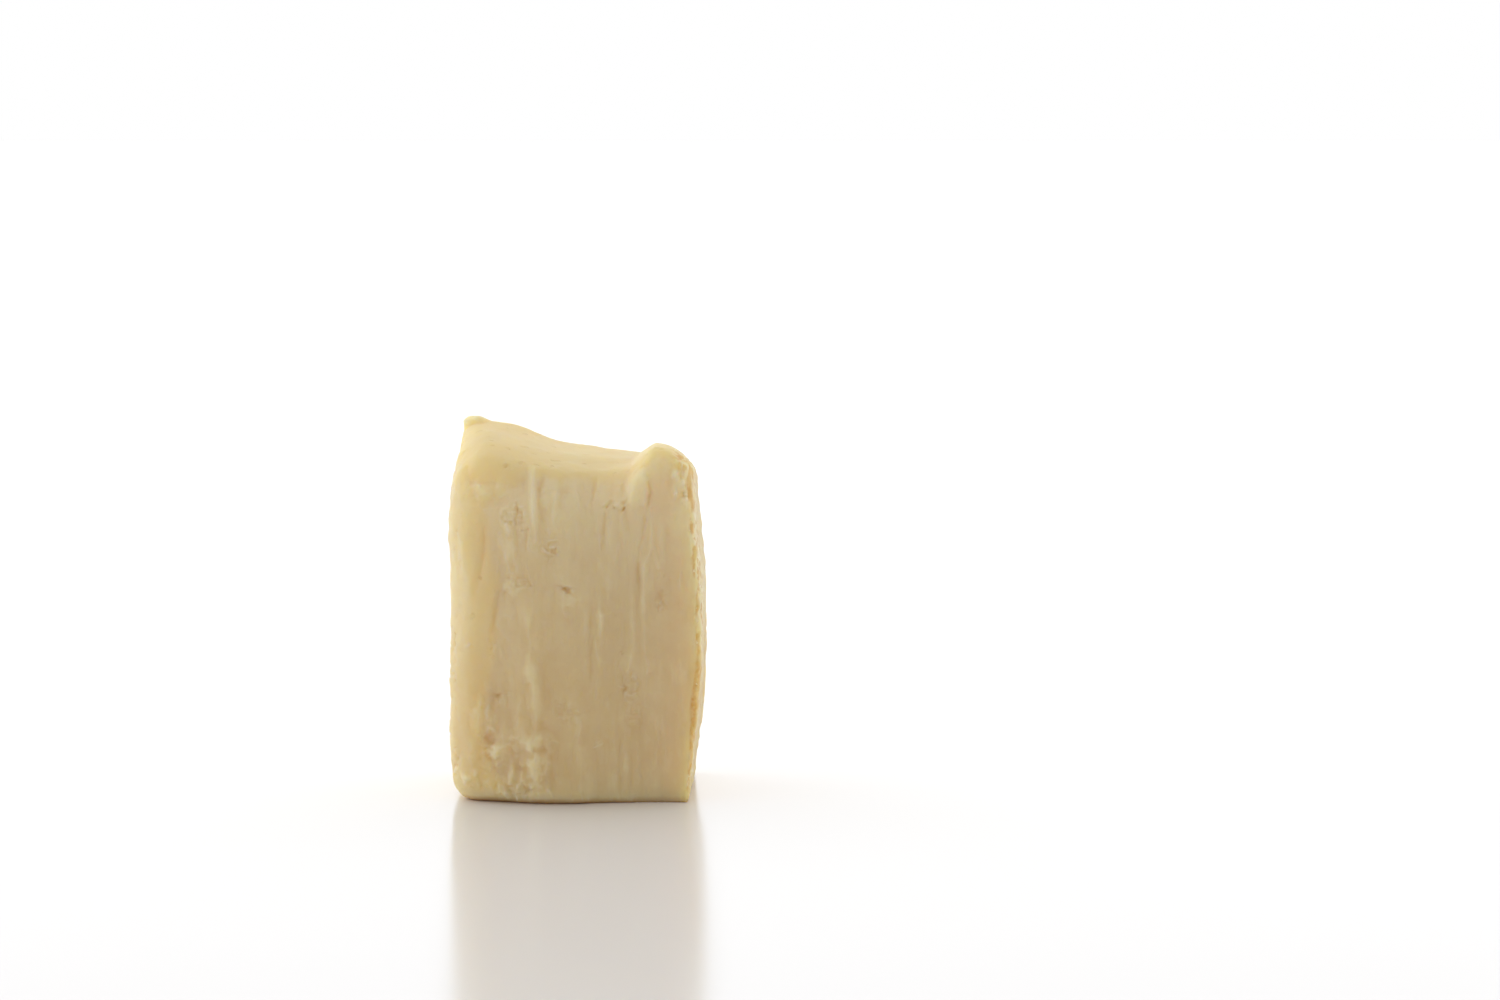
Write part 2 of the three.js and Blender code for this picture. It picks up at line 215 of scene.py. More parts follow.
def block_lattice():
    """The box's surface as one closed lattice, with lines twice as close on the front face.
    The quads that meet the front's rim take its extra corner, and so have five corners.
    Returns the corners as shares of the box, and the quads and five-corner faces."""
    spans = (2 * CELLS_ACROSS, CELLS_THROUGH, 2 * CELLS_UP)
    coarse = (2, 1, 2)
    front = face_quads(1, 0, spans, (1, 1, 1), False)
    others = np.concatenate([
        face_quads(1, spans[1], spans, coarse, True),
        face_quads(0, 0, spans, coarse, True),
        face_quads(0, spans[0], spans, coarse, False),
        face_quads(2, 0, spans, coarse, True),
        face_quads(2, spans[2], spans, coarse, False),
    ])
    plain = np.ones(len(others), dtype=bool)
    rims = []
    for corner in range(4):
        on_rim = (others[:, corner, 1] == 0) & (others[:, (corner + 1) % 4, 1] == 0)
        turned = np.roll(others[on_rim], -corner, axis=1)
        middle = (turned[:, :1] + turned[:, 1:2]) // 2
        rims.append(np.concatenate([turned[:, :1], middle, turned[:, 1:]], axis=1))
        plain &= ~on_rim
    quads = np.concatenate([front, others[plain]])
    rims = np.concatenate(rims)
    every = np.concatenate([quads.reshape(-1, 3), rims.reshape(-1, 3)])
    corners, numbers = np.unique(every, axis=0, return_inverse=True)
    numbers = numbers.ravel()
    quad_corners = quads.shape[0] * 4
    quads, fives = numbers[:quad_corners].reshape(-1, 4), numbers[quad_corners:].reshape(-1, 5)
    return corners / np.array(spans), quads, fives


def cell_noise(points, cell, seed):
    """Smooth noise from -1 to 1: seeded random values on a cubic lattice of the given cell
    size, blended between the eight corners round each point by the smooth step."""
    scaled = points / cell
    base = np.floor(scaled).astype(np.int64)
    share = scaled - base
    share = share * share * (3 - 2 * share)
    base -= base.min(axis=0)
    values = np.random.default_rng(seed).uniform(-1, 1, base.max(axis=0) + 2)
    total = np.zeros(len(points))
    for corner in np.ndindex(2, 2, 2):
        weight = np.prod(np.where(corner, share, 1 - share), axis=1)
        total += weight * values[tuple((base + corner).T)]
    return total


def noise_sum(points, layers, first_seed=0):
    """Sum of noises, each with its own height, cell size and seed, counted from the first."""
    return sum(height * cell_noise(points, cell, first_seed + seed)
               for height, cell, seed in layers)


def lumps(points, cell, seed):
    """Puffy lumps with creases between them: twice the size of the noise, less a half."""
    return 2 * np.abs(cell_noise(points, cell, seed)) - 0.5


def on_face(x, z):
    """Points for the noise on the front face: the places across and up it, at no depth."""
    return np.stack([x, 0 * x, z], axis=1)


# A stroke's reach in half widths, and its share at both ends, which it grows from over a part
# of its length. A hollow's floor, and the height, place and width of the lip round it.
STROKE_REACH, STROKE_END, STROKE_TAPER = 3, 0.35, 0.25
HOLLOW_POWER, HOLLOW_LIP, HOLLOW_LIP_AT, HOLLOW_LIP_WIDTH = 0.7, 0.16, 1.2, 0.25


def stroke(first, second, chain, width, height):
    """Ridge or groove along a chain of points: height times a bell of the distance to the
    chain, thinning towards both ends."""
    chain = np.asarray(chain, dtype=float)
    total = np.zeros(first.shape)
    low = chain.min(axis=0) - STROKE_REACH * width
    high = chain.max(axis=0) + STROKE_REACH * width
    near = np.flatnonzero((first > low[0]) & (first < high[0])
                          & (second > low[1]) & (second < high[1]))
    first, second = first[near], second[near]
    nearest = np.full(first.shape, np.inf)
    along = np.zeros(first.shape)
    walked = 0.0
    for start, end in zip(chain, chain[1:]):
        length = np.hypot(*(end - start))
        across, up = (end - start) / length
        place = np.clip((first - start[0]) * across + (second - start[1]) * up, 0, length)
        away = np.hypot(first - start[0] - place * across, second - start[1] - place * up)
        closer = away < nearest
        nearest = np.where(closer, away, nearest)
        along = np.where(closer, walked + place, along)
        walked += length
    share = along / walked
    inner = ramp(share, 0, STROKE_TAPER) * (1 - ramp(share, 1 - STROKE_TAPER, 1))
    taper = mix(STROKE_END, 1, inner)
    total[near] = height * bump(nearest, 0, width * taper) * taper
    return total


def ellipse_reach(first, second, centre, half, lean=0.0):
    """Distance from the middle of a leaning ellipse, as a share of the way to its outline."""
    across, up = first - centre[0], second - centre[1]
    turned = across * np.cos(lean) + up * np.sin(lean)
    upright = up * np.cos(lean) - across * np.sin(lean)
    return np.hypot(turned / half[0], upright / half[1])


def pit(first, second, centre, half, deep, lean=0.0):
    """Torn hollow: a leaning ellipse with a rounded floor and a low lip round it."""
    reach = ellipse_reach(first, second, centre, half, lean)
    floor = np.clip(1 - reach ** 2, 0, 1) ** HOLLOW_POWER
    return HOLLOW_LIP * deep * bump(reach, HOLLOW_LIP_AT, HOLLOW_LIP_WIDTH) - deep * floor


# What the knife left on the front face, by place across and up it, with heights counted from
# a little above the foot. A ridge or groove has the points of its stroke, its half width and
# its height or depth. A tear has its middle, half sizes, depth, lean, and the share of orange
# that shows in its hollow.
MARKS_UP = 0.35
RIDGES = (
    (((-4.6, 36.0), (-4.6, 33.2), (-4.4, 30.2), (-4.0, 27.0)), 0.42, 0.3),
    (((-2.2, 33.4), (-2.0, 31.0), (-2.3, 28.8)), 0.35, 0.12),
    (((-0.2, 33.8), (0.1, 30.2), (0.0, 26.8)), 0.4, 0.1),
    (((3.6, 29.6), (3.5, 25.0), (3.4, 20.9)), 0.6, 0.24),
    (((4.8, 29.9), (4.9, 26.4)), 0.25, 0.12),
    (((2.4, 22.2), (2.5, 18.5), (2.3, 13.2), (2.0, 10.6)), 0.32, 0.2),
    (((7.6, 30.4), (7.7, 26.4), (6.9, 24.4), (6.8, 19.3), (7.0, 13.9)), 0.26, 0.17),
    (((5.6, 23.5), (5.8, 16.4), (5.4, 13.0)), 0.24, 0.13),
    (((7.8, 26.8), (8.0, 26.0), (8.5, 23.4)), 0.18, 0.2),
    (((-4.8, 15.4), (-4.2, 12.6), (-4.2, 7.4)), 0.6, 0.3),
    (((-5.9, 10.3), (-6.0, 7.9)), 0.2, 0.13),
    (((-10.2, 9.8), (-10.3, 6.8)), 0.4, 0.1),
    (((-9.2, 13.0), (-8.9, 9.8)), 0.3, 0.12),
    (((-7.9, 29.3), (-6.9, 28.2), (-5.8, 26.6)), 0.26, 0.16),
    (((-8.0, 27.6), (-7.3, 25.4), (-7.4, 23.2)), 0.3, 0.11),
    (((-7.0, 28.9), (-6.4, 27.6)), 0.2, 0.14),
    (((3.6, 8.8), (3.8, 5.4)), 0.3, 0.12),
    (((5.0, 4.9), (5.1, 1.4)), 0.24, 0.13),
    (((-1.0, 9.6), (-0.6, 7.6)), 0.2, 0.1),
    (((1.5, 5.6), (2.7, 6.1)), 0.13, 0.16),
    (((1.8, 6.1), (2.4, 6.4)), 0.1, 0.12),
    (((-4.4, 5.0), (-4.3, 2.5)), 0.5, 0.12),
    (((-3.2, 1.8), (-2.7, 1.0), (-2.5, 0.2)), 0.2, 0.14),
    (((-9.1, 2.8), (-8.7, 1.5), (-7.6, 0.5)), 0.35, 0.14),
    (((-8.8, 5.2), (-7.8, 5.8), (-6.8, 5.6)), 0.4, 0.15),
    (((-9.2, 5.4), (-8.6, 5.1), (-8.0, 5.5)), 0.35, 0.15),
    (((-9.4, 7.2), (-8.8, 7.6), (-8.1, 7.2)), 0.26, 0.16),
    (((-5.0, 4.6), (-4.8, 6.2), (-3.9, 7.0), (-2.9, 7.0), (-2.0, 6.3)), 0.45, 0.3),
    (((-11.4, 32.6), (-10.2, 32.5), (-9.0, 31.6), (-8.3, 30.9)), 0.35, 0.16),
    (((9.9, 34.2), (10.2, 32.6), (10.1, 31.0)), 0.3, 0.22),
)
GROOVES = (
    (((2.9, 30.2), (2.9, 28.6), (2.4, 25.3)), 0.26, 0.22),
    (((1.7, 21.2), (1.6, 17.0), (1.5, 11.7)), 0.3, 0.16),
    (((6.5, 27.2), (6.3, 24.0), (6.4, 20.8)), 0.22, 0.24),
    (((-3.7, 33.4), (-3.6, 30.2), (-3.1, 27.8)), 0.3, 0.14),
    (((-5.5, 28.5), (-5.1, 26.2)), 0.22, 0.18),
    (((-9.4, 28.2), (-9.5, 25.6), (-10.2, 22.0), (-11.1, 18.8)), 0.42, 0.22),
    (((-7.8, 21.8), (-8.2, 19.6), (-8.9, 16.6)), 0.3, 0.22),
    (((-7.2, 22.0), (-7.4, 20.9)), 0.18, 0.16),
    (((-10.9, 9.6), (-10.8, 7.0)), 0.4, 0.08),
    (((4.4, 6.2), (4.4, 0.4)), 0.28, 0.2),
    (((5.6, 5.2), (5.5, 1.5)), 0.22, 0.16),
    (((6.3, 12.4), (6.5, 9.2), (6.2, 5.6)), 0.3, 0.11),
    (((7.4, 33.0), (7.5, 31.6), (7.2, 30.0)), 0.3, 0.2),
    (((7.1, 29.8), (6.9, 28.2), (6.6, 26.6)), 0.22, 0.2),
    (((2.2, 34.4), (1.9, 32.0), (1.6, 30.6)), 0.22, 0.18),
    (((4.9, 33.6), (4.7, 31.4)), 0.3, 0.14),
    (((-9.4, 5.0), (-8.9, 4.6), (-8.8, 4.0)), 0.24, 0.1),
    (((-8.0, 11.5), (-8.8, 8.4)), 0.34, 0.16),
    (((-4.3, 5.4), (-3.4, 5.6), (-2.9, 5.2)), 0.3, 0.14),
    (((-6.6, 5.2), (-5.9, 3.0), (-6.2, 1.4)), 0.4, 0.09),
    (((-0.4, 6.8), (-0.2, 2.4)), 0.35, 0.09),
    (((-2.1, 22.5), (-1.6, 22.4), (-1.1, 22.1), (-0.4, 22.1), (0.3, 22.2)), 0.13, 0.26),
)
TEARS = (
    ((-1.05, 22.1), (0.7, 0.15), 0.4, -0.08, 0.0),
    ((-7.3, 34.5), (0.18, 0.42), 0.7, 0.0, 0.0),
    ((4.8, 30.2), (0.3, 0.14), 0.34, 0.15, 0.3),
    ((3.2, 30.4), (0.16, 0.12), 0.3, 0.0, 0.2),
    ((3.9, 30.2), (0.2, 0.1), 0.3, 0.0, 0.2),
    ((8.4, 20.1), (0.12, 0.7), 0.2, 0.2, 0.1),
    ((4.55, 15.5), (0.2, 0.14), 0.22, 0.0, 0.3),
    ((4.9, 11.4), (0.14, 0.4), 0.18, -0.35, 0.1),
    ((-9.1, 6.5), (0.5, 0.66), 0.02, -0.3, 0.4),
    ((-9.2, 5.0), (0.3, 0.4), 0.06, 0.0, 0.4),
)

# Where the knife broke the skin into crazed squiggles: the middle and half sizes of each
# place, and how deep it is torn.
CRAZED = (
    ((-6.4, 29.6), (1.7, 1.5), 0.17),
    ((-4.9, 27.3), (1.2, 1.5), 0.15),
    ((-2.6, 26.4), (1.2, 1.4), 0.2),
    ((4.0, 30.6), (1.6, 0.45), 0.3),
    ((-5.9, 22.8), (1.7, 0.9), 0.18),
    ((8.7, 20.8), (0.9, 1.7), 0.15),
    ((8.5, 23.2), (0.6, 0.9), 0.15),
    ((-7.6, 10.8), (1.2, 0.8), 0.18),
    ((5.4, 12.0), (1.2, 2.0), 0.14),
    ((-5.9, 1.5), (1.8, 0.9), 0.2),
    ((-8.8, 5.2), (1.0, 1.2), 0.14),
    ((-0.9, 9.4), (1.6, 1.4), 0.13),
    ((6.0, 8.6), (1.3, 1.6), 0.1),
    ((-10.9, 16.2), (0.6, 0.8), 0.15),
    ((-8.6, 16.2), (0.6, 0.8), 0.15),
)
# The crazed places' noise, how near to zero it has to be for a crack, and where they fade out.
# Then the height, size and seed of the cracks and of the puffs between them.
CRAZE_CELL, CRAZE_FLATTEN, CRAZE_FROM, CRAZE_FADE = 0.62, 0.75, 0.72, (0.45, 1.1)
CRAZE_CRACKS = ((0.5, 1.0, 51), (0.7, 1.7, 52))
CRAZE_PUFFS = (0.55, 0.7, 53)

# Crumbs that stick to the front face: the middle of each and its half width. Then their height
# up the face and out of it in half widths, and where their sides fall away.
FRONT_CRUMBS = (
    ((10.0, 33.9), 0.42), ((10.7, 34.5), 0.3), ((10.8, 32.6), 0.4), ((11.1, 31.0), 0.36),
    ((10.4, 33.2), 0.26), ((10.2, 31.7), 0.24), ((5.9, 35.0), 0.34), ((5.2, 34.8), 0.22),
    ((-11.1, 17.2), 0.16), ((-10.9, 15.9), 0.18), ((-8.4, 15.7), 0.16),
    ((-10.4, 2.9), 0.34), ((-10.3, 1.8), 0.24), ((-11.4, 2.3), 0.5), ((-7.1, 0.6), 0.4),
    ((-6.2, 0.5), 0.24), ((-8.0, 5.4), 0.22), ((-6.9, 5.9), 0.2), ((-8.5, 7.5), 0.16),
    ((-3.0, 6.7), 0.2), ((-4.2, 4.2), 0.16), ((2.0, 5.9), 0.12), ((-5.0, 2.6), 0.2),
)
KNOB_TALL, KNOB_HIGH, KNOB_FADE = 1.4, 0.5, (0.3, 1.3)

# Pale flakes that the knife pressed back on the face: middle, half sizes, lean and height.
FLAKES = (
    ((-9.7, 8.6), (1.2, 2.0), 0.1, 0.22),
    ((-8.5, 5.3), (1.3, 0.8), 0.15, 0.22),
    ((-10.6, 5.2), (0.6, 1.3), 0.0, 0.06),
    ((-11.4, 2.4), (0.9, 0.5), 0.0, 0.08),
    ((-3.6, 5.9), (1.5, 1.2), 0.0, 0.15),
    ((-3.9, 3.8), (1.2, 1.8), 0.0, 0.2),
    ((-6.7, 3.1), (0.35, 1.3), 0.0, 0.16),
    ((-7.6, 1.3), (0.4, 1.1), 0.6, 0.2),
    ((-4.5, 13.6), (0.75, 1.3), 0.0, 0.09),
    ((-10.2, 31.7), (1.5, 0.7), -0.35, 0.14),
    ((-7.4, 32.2), (0.9, 1.3), -0.2, 0.1),
    ((-2.7, 31.6), (1.0, 1.5), 0.0, 0.14),
    ((-6.2, 22.3), (1.2, 1.0), 0.0, 0.16),
    ((-0.7, 20.9), (1.2, 0.7), 0.0, 0.1),
    ((-6.9, 26.4), (0.8, 1.6), 0.25, 0.14),
    ((5.1, 14.6), (0.7, 1.6), 0.0, 0.1),
)
FLAKE_RAGGED, FLAKE_FADE = ((0.28, 0.7, 71), (0.16, 0.3, 72)), (0.35, 1.2)
FLAKE_UNEVEN, FLAKE_STRETCH = ((0.4, 0.6, 73),), (1.4, 1, 0.5)

# The smear that the knife pulled down from the lobe: its right edge by height, where it starts
# at its left and its foot, and where it ends in the lobe.
FLAP_EDGE = ((30.2, 30.9, 31.8, 33.0, 34.2, 35.4), (6.4, 7.0, 7.3, 7.2, 6.9, 6.5))
FLAP_FROM, FLAP_FOOT, FLAP_TOP = (4.7, 6.0), (29.8, 31.0), (32.6, 35.6)
FLAP_THICK, FLAP_SLOPE = 0.24, 0.2

# The crumbly patch at the lower left, and each size of its lumps: height, fineness and seed.
PATCH_CENTRE, PATCH_HALF, PATCH_FADE = (-6.6, 3.8), (5.0, 5.0), (0.55, 1.05)
PATCH_CELL, PATCH_FLATTEN, PATCH_HEIGHT = 1.55, 0.7, 0.14
PATCH_LUMPS = ((1.0, 1.0, 31), (0.45, 2.3, 32), (0.25, 4.1, 33))

# Where the knife's drag ends: at the top by place across, at the left by height, and at the
# right. The noise that makes these ends ragged is drawn out into tongues at the top.
DRAG_TOP = ((-13, -11, -8.7, -7, -5.2, -3.2, 0.5, 3, 5.5, 8, 13),
            (33.4, 32.4, 31.2, 33.2, 34.4, 33.4, 33.9, 33.6, 34.8, 35.8, 34.4))
DRAG_LEFT = ((0, 3, 8, 12, 15, 18, 21, 25, 28, 31, 34),
             (-8.6, -10.0, -10.7, -10.1, -9.5, -9.1, -9.3, -9.5, -9.8, -11.4, -12.4))
DRAG_RIGHT, DRAG_LEFT_FADE, DRAG_TOP_FADE, DRAG_STEP = (13.0, 14.4), 1.8, (-0.4, 1.0), 0.06
DRAG_TONGUES, DRAG_STRETCH, DRAG_RAGGED = ((0.9, 0.8, 41),), (1, 1, 0.3), ((0.35, 0.35, 42),)
DRAG_WANDER, DRAG_RAGGED_SHARE = ((0.7, 2.5, 43),), 0.2


def flap_height(x, z):
    """The smear below the lobe: steep along its curved right edge and its foot, and thinning
    out to the left and up into the lobe."""
    inside = 1 - ramp(x - np.interp(z, *FLAP_EDGE), -FLAP_SLOPE, FLAP_SLOPE)
    upward = ramp(z, *FLAP_FOOT) * (1 - ramp(z, *FLAP_TOP))
    return FLAP_THICK * inside * ramp(x, *FLAP_FROM) * upward


def flakes(x, z):
    """Flakes: inside each leaning ellipse a plateau with an edge that noise makes ragged.
    Returns their height, and the share from 0 to 1 of their pale colour."""
    points = on_face(x, z)
    ragged = noise_sum(points, FLAKE_RAGGED)
    uneven = 1 + noise_sum(points * FLAKE_STRETCH, FLAKE_UNEVEN)
    total = np.zeros(x.shape)
    most = np.zeros(x.shape)
    for centre, half, lean, high in FLAKES:
        share = 1 - ramp(ellipse_reach(x, z, centre, half, lean) + ragged, *FLAKE_FADE)
        total = np.maximum(total, high * uneven * share)
        most = np.maximum(most, share)
    return total, most


def crumb_height(x, z):
    """The crumbs that stick to the front face: a knob for each, taller than it is wide."""
    total = np.zeros(x.shape)
    for centre, size in FRONT_CRUMBS:
        reach = ellipse_reach(x, z, centre, (size, KNOB_TALL * size))
        total += KNOB_HIGH * size * (1 - ramp(reach, *KNOB_FADE))
    return total


def crazed_height(x, z):
    """Crazed places: inside each ellipse, cracks of two sizes where a noise passes through
    zero, between puffy lumps."""
    share = np.zeros(x.shape)
    for centre, half, deep in CRAZED:
        reach = ellipse_reach(x, z, centre, half)
        share = np.maximum(share, deep * (1 - ramp(reach, *CRAZE_FADE)))
    points = on_face(x * CRAZE_FLATTEN, z)
    high, size, seed = CRAZE_PUFFS
    height = high * lumps(points, size * CRAZE_CELL, seed)
    for deep, size, seed in CRAZE_CRACKS:
        close = 1 - np.abs(cell_noise(points, size * CRAZE_CELL, seed))
        height -= deep * ramp(close, CRAZE_FROM, 1)
    return share * height


def patch_height(x, z):
    """The crumbly patch: puffy lumps of three sizes, inside an ellipse."""
    reach = ellipse_reach(x, z, PATCH_CENTRE, PATCH_HALF)
    points = on_face(x, PATCH_FLATTEN * z)
    rough = sum(high * lumps(points, PATCH_CELL / finer, seed) for high, finer, seed in PATCH_LUMPS)
    return PATCH_HEIGHT * rough * (1 - ramp(reach, *PATCH_FADE))


def dragged_share(x, z):
    """Share from 0 to 1 of the knife's drag: full inside the face, and ending raggedly below
    the rolled top edge and short of both sides."""
    points = on_face(x, z)
    ragged = noise_sum(points * DRAG_STRETCH, DRAG_TONGUES) + noise_sum(points, DRAG_RAGGED)
    below = ramp(np.interp(x, *DRAG_TOP) + ragged - z, *DRAG_TOP_FADE)
    wander = noise_sum(points, DRAG_WANDER) + DRAG_RAGGED_SHARE * ragged
    right_of = ramp(x + wander - np.interp(z, *DRAG_LEFT), 0, DRAG_LEFT_FADE)
    return below * right_of * (1 - ramp(x + wander, *DRAG_RIGHT))


# The noise that bends the marks of the front face and varies how deep the knife pressed, and
# the shares of their depth that grooves and tears have.
LINE_WANDER, LINE_STRETCH = ((0.12, 0.9, 1), (0.05, 0.35, 5)), (1, 1, 0.2)
RAGGED_ACROSS, RAGGED_UP = ((0.16, 0.9, 7), (0.1, 0.4, 2)), ((0.3, 0.9, 3), (0.14, 0.4, 4))
PRESS_MEAN, PRESS_VARIED, PRESS_STRETCH = 0.75, ((0.5, 1.1, 6),), (1, 1, 0.6)
GROOVE_SHARE, TEAR_SHARE = 0.8, 0.75


def front_relief(x, z):
    """Height of everything that the knife left on the front face, at places bent by noise so
    that every outline is ragged."""
    points = on_face(x, z)
    line_x = x + noise_sum(points * LINE_STRETCH, LINE_WANDER)
    press = PRESS_MEAN + noise_sum(points * PRESS_STRETCH, PRESS_VARIED)
    ragged = x + noise_sum(points, RAGGED_ACROSS), z + noise_sum(points, RAGGED_UP)
    height = flap_height(*ragged) + patch_height(*ragged) + flakes(x, z)[0]
    height += crumb_height(*ragged) + crazed_height(*ragged)
    for chain, width, tall in RIDGES:
        height += stroke(line_x, z, chain, width, tall) * press
    for chain, width, deep in GROOVES:
        height -= stroke(line_x, z, chain, width, GROOVE_SHARE * deep) * press
    for centre, half, deep, lean, _ in TEARS:
        height += pit(*ragged, centre, half, TEAR_SHARE * deep, lean)
    return height


# The drag's grain. Bands and streaks lean a little and are drawn out along the height, and the
# streaks fade in some patches. Smeared lips are shorter and sharp, and lie in other patches.
BAND_LEAN, BAND_TALL, BANDS = 0.02, 9, ((0.07, 2.3, 14),)
STREAKS, FINE_STREAKS, FINE_STRETCH = ((0.06, 1.1, 11),), ((0.035, 0.42, 12),), (1, 1, 2.2)
STREAK_PATCH, STREAK_FADE, STREAK_LEAST = (4.5, 13), (-0.8, 0.5), 0.35
LIP_WANDER, LIP_TALL, LIP_CELL, LIP_POWER, LIP_HEIGHT = ((0.3, 1.6, 15),), 5, (0.85, 16), 6, 0.1
LIP_PATCH, LIP_FADE = (2.6, 17), (-0.3, 0.4)


def drag_grain(x, z):
    """Upright bands, streaks and lips left by the knife's edge: noise drawn out along the
    height. A lip is a power of the nearness of its noise to zero."""
    points = on_face(x, z)
    drawn = on_face(x + BAND_LEAN * z, z / BAND_TALL)
    streaks = noise_sum(drawn, STREAKS) + noise_sum(drawn * FINE_STRETCH, FINE_STREAKS)
    streaks *= mix(STREAK_LEAST, 1, ramp(cell_noise(points, *STREAK_PATCH), *STREAK_FADE))
    smeared = on_face(x + noise_sum(points, LIP_WANDER), z / LIP_TALL)
    lips = (1 - np.abs(cell_noise(smeared, *LIP_CELL))) ** LIP_POWER
    lips *= ramp(cell_noise(points, *LIP_PATCH), *LIP_FADE)
    return noise_sum(drawn, BANDS) + streaks + LIP_HEIGHT * lips


# Pits and pores of the other cut faces, from seeded draws. The larger pits are spread up each
# face, and the small pores crowd round a few places.
PIT_COUNT, PIT_MARGIN, PIT_DEEP, PIT_LEAN = 9, 2.5, 0.4, 0.6
PIT_WIDE, PIT_TALL = (0.4, 1.2), (0.24, 0.42)
PORE_COUNT, PORE_CROWDS, PORE_SPREAD, PORE_MARGIN, PORE_REACH = 260, 9, 2.6, 0.8, 1.6
PORE_HALF, PORE_LONG, PORE_TALL, PORE_LEAN = (0.12, 0.36), (0.9, 2.4), 0.8, 0.4
PORE_DEEP, PORE_SHARE = 0.26, (0.3, 1.0)
SPANS = ((-HALF_WIDTH, HALF_WIDTH), (-HALF_DEPTH, HALF_DEPTH), (0.0, HEIGHT))
OTHER_FACES = (("back", [0, 2], 11), ("left", [1, 2], 23), ("right", [1, 2], 37))
SEED_FACTOR, STATE_FACTOR, LARGEST = 48271, 16807, 2 ** 31 - 1


def draws_from(seed):
    """Seeded random numbers from 0 to 1: each state is a fixed multiple of the last, modulo
    the largest 31-bit number."""
    state = seed * SEED_FACTOR % LARGEST
    while True:
        state = state * STATE_FACTOR % LARGEST
        yield state / LARGEST


def large_pits(first, second, spans, seed):
    """Height of a face's larger pits, at places along its two axes."""
    draw = draws_from(seed)
    height = np.zeros(len(first))
    (left, right), (bottom, top) = [(low + PIT_MARGIN, high - PIT_MARGIN) for low, high in spans]
    for number in range(PIT_COUNT):
        across = mix(left, right, next(draw))
        up = mix(bottom, top, (number + next(draw)) / PIT_COUNT)
        half = mix(*PIT_WIDE, next(draw) ** 2), mix(*PIT_TALL, next(draw))
        lean = PIT_LEAN * (2 * next(draw) - 1)
        height += pit(first, second, (across, up), half, PIT_DEEP, lean)
    return height


def small_pores(first, second, spans, seed):
    """Height of a face's small pores, at places along its two axes: each lies by chance round
    one of the crowds' middles, and is longer than it is tall."""
    random = np.random.default_rng(seed)
    height = np.zeros(len(first))
    low, high = np.array(spans).T + np.array([[PORE_MARGIN], [-PORE_MARGIN]])
    crowds = random.uniform(low, high, (PORE_CROWDS, 2))
    for number in range(PORE_COUNT):
        away = random.normal(0, PORE_SPREAD, 2)
        centre = np.clip(crowds[number % PORE_CROWDS] + away, low, high)
        half = random.uniform(*PORE_HALF) * np.array([random.uniform(*PORE_LONG), PORE_TALL])
        near = np.flatnonzero((np.abs(first - centre[0]) < PORE_REACH)
                              & (np.abs(second - centre[1]) < PORE_REACH))
        deep, lean = random.uniform(*PORE_SHARE) * PORE_DEEP, random.normal(0, PORE_LEAN)
        height[near] += pit(first[near], second[near], centre, half, deep, lean)
    return height


# Cracks of the other cut faces, where the slab's layers part: the place each starts at, its
# first heading in radians, and its number of steps.
CRACKS = {
    "left": (((-8.6, 12.4), 0.1, 20), ((-2.5, 26.4), -0.3, 10), ((1.5, 7.2), 0.5, 8)),
    "right": (((-7.0, 21.5), -0.2, 15), ((-1.0, 9.4), 0.1, 12)),
    "back": (((-10.4, 14.6), 0.15, 25), ((3.0, 24.5), -0.1, 12), ((-6.5, 6.0), 0.1, 11)),
}
CRACK_STEP, CRACK_TURN, CRACK_WAVE, CRACK_WAVE_STEPS = 0.8, 0.45, 0.5, 2.3
CRACK_WIDTH, CRACK_DEEP, CRACK_LIP_WIDTH, CRACK_LIP = 0.15, 0.3, 4, 0.3


def crack_height(first, second, start, heading, steps, seed):
    """A crack that wanders from its start by small turns, between two low puffed lips."""
    turns = np.random.default_rng(seed).normal(0, CRACK_TURN, steps)
    turns += CRACK_WAVE * np.sin(np.arange(steps) / CRACK_WAVE_STEPS + seed)
    moves = CRACK_STEP * np.stack([np.cos(heading + turns), np.sin(heading + turns)], axis=1)
    chain = np.array(start) + np.concatenate([[[0, 0]], np.cumsum(moves, axis=0)])
    lips = stroke(first, second, chain, CRACK_LIP_WIDTH * CRACK_WIDTH, CRACK_LIP * CRACK_DEEP)
    return lips - stroke(first, second, chain, CRACK_WIDTH, CRACK_DEEP)


# What bends the marks of these faces: the share of each noise, its cell size and the seeds for
# the three directions, counted from the face's own. Then their soft lumps.
CUT_BEND, CUT_BENDS = 0.3, ((1.0, 0.8, (1, 2, 3)), (0.5, 0.35, (6, 7, 8)))
CUT_LUMPS = ((0.07, 2.1, 4), (0.045, 0.9, 5))


def cut_face_relief(name, box, form, axes, seed):
    """Height of one of the other cut faces: pits, pores, cracks and soft lumps, at places
    bent by noise."""
    bend = sum(share * np.stack([cell_noise(form, cell, seed + step) for step in steps], axis=1)
               for share, cell, steps in CUT_BENDS)
    first, second = (box + CUT_BEND * bend)[:, axes].T
    spans = [SPANS[axis] for axis in axes]
    height = large_pits(first, second, spans, seed) + small_pores(first, second, spans, seed)
    for number, crack in enumerate(CRACKS[name]):
        height += crack_height(first, second, *crack, seed + number)
    for high, cell, step in CUT_LUMPS:
        height += high * lumps(form, cell, seed + step)
    return height


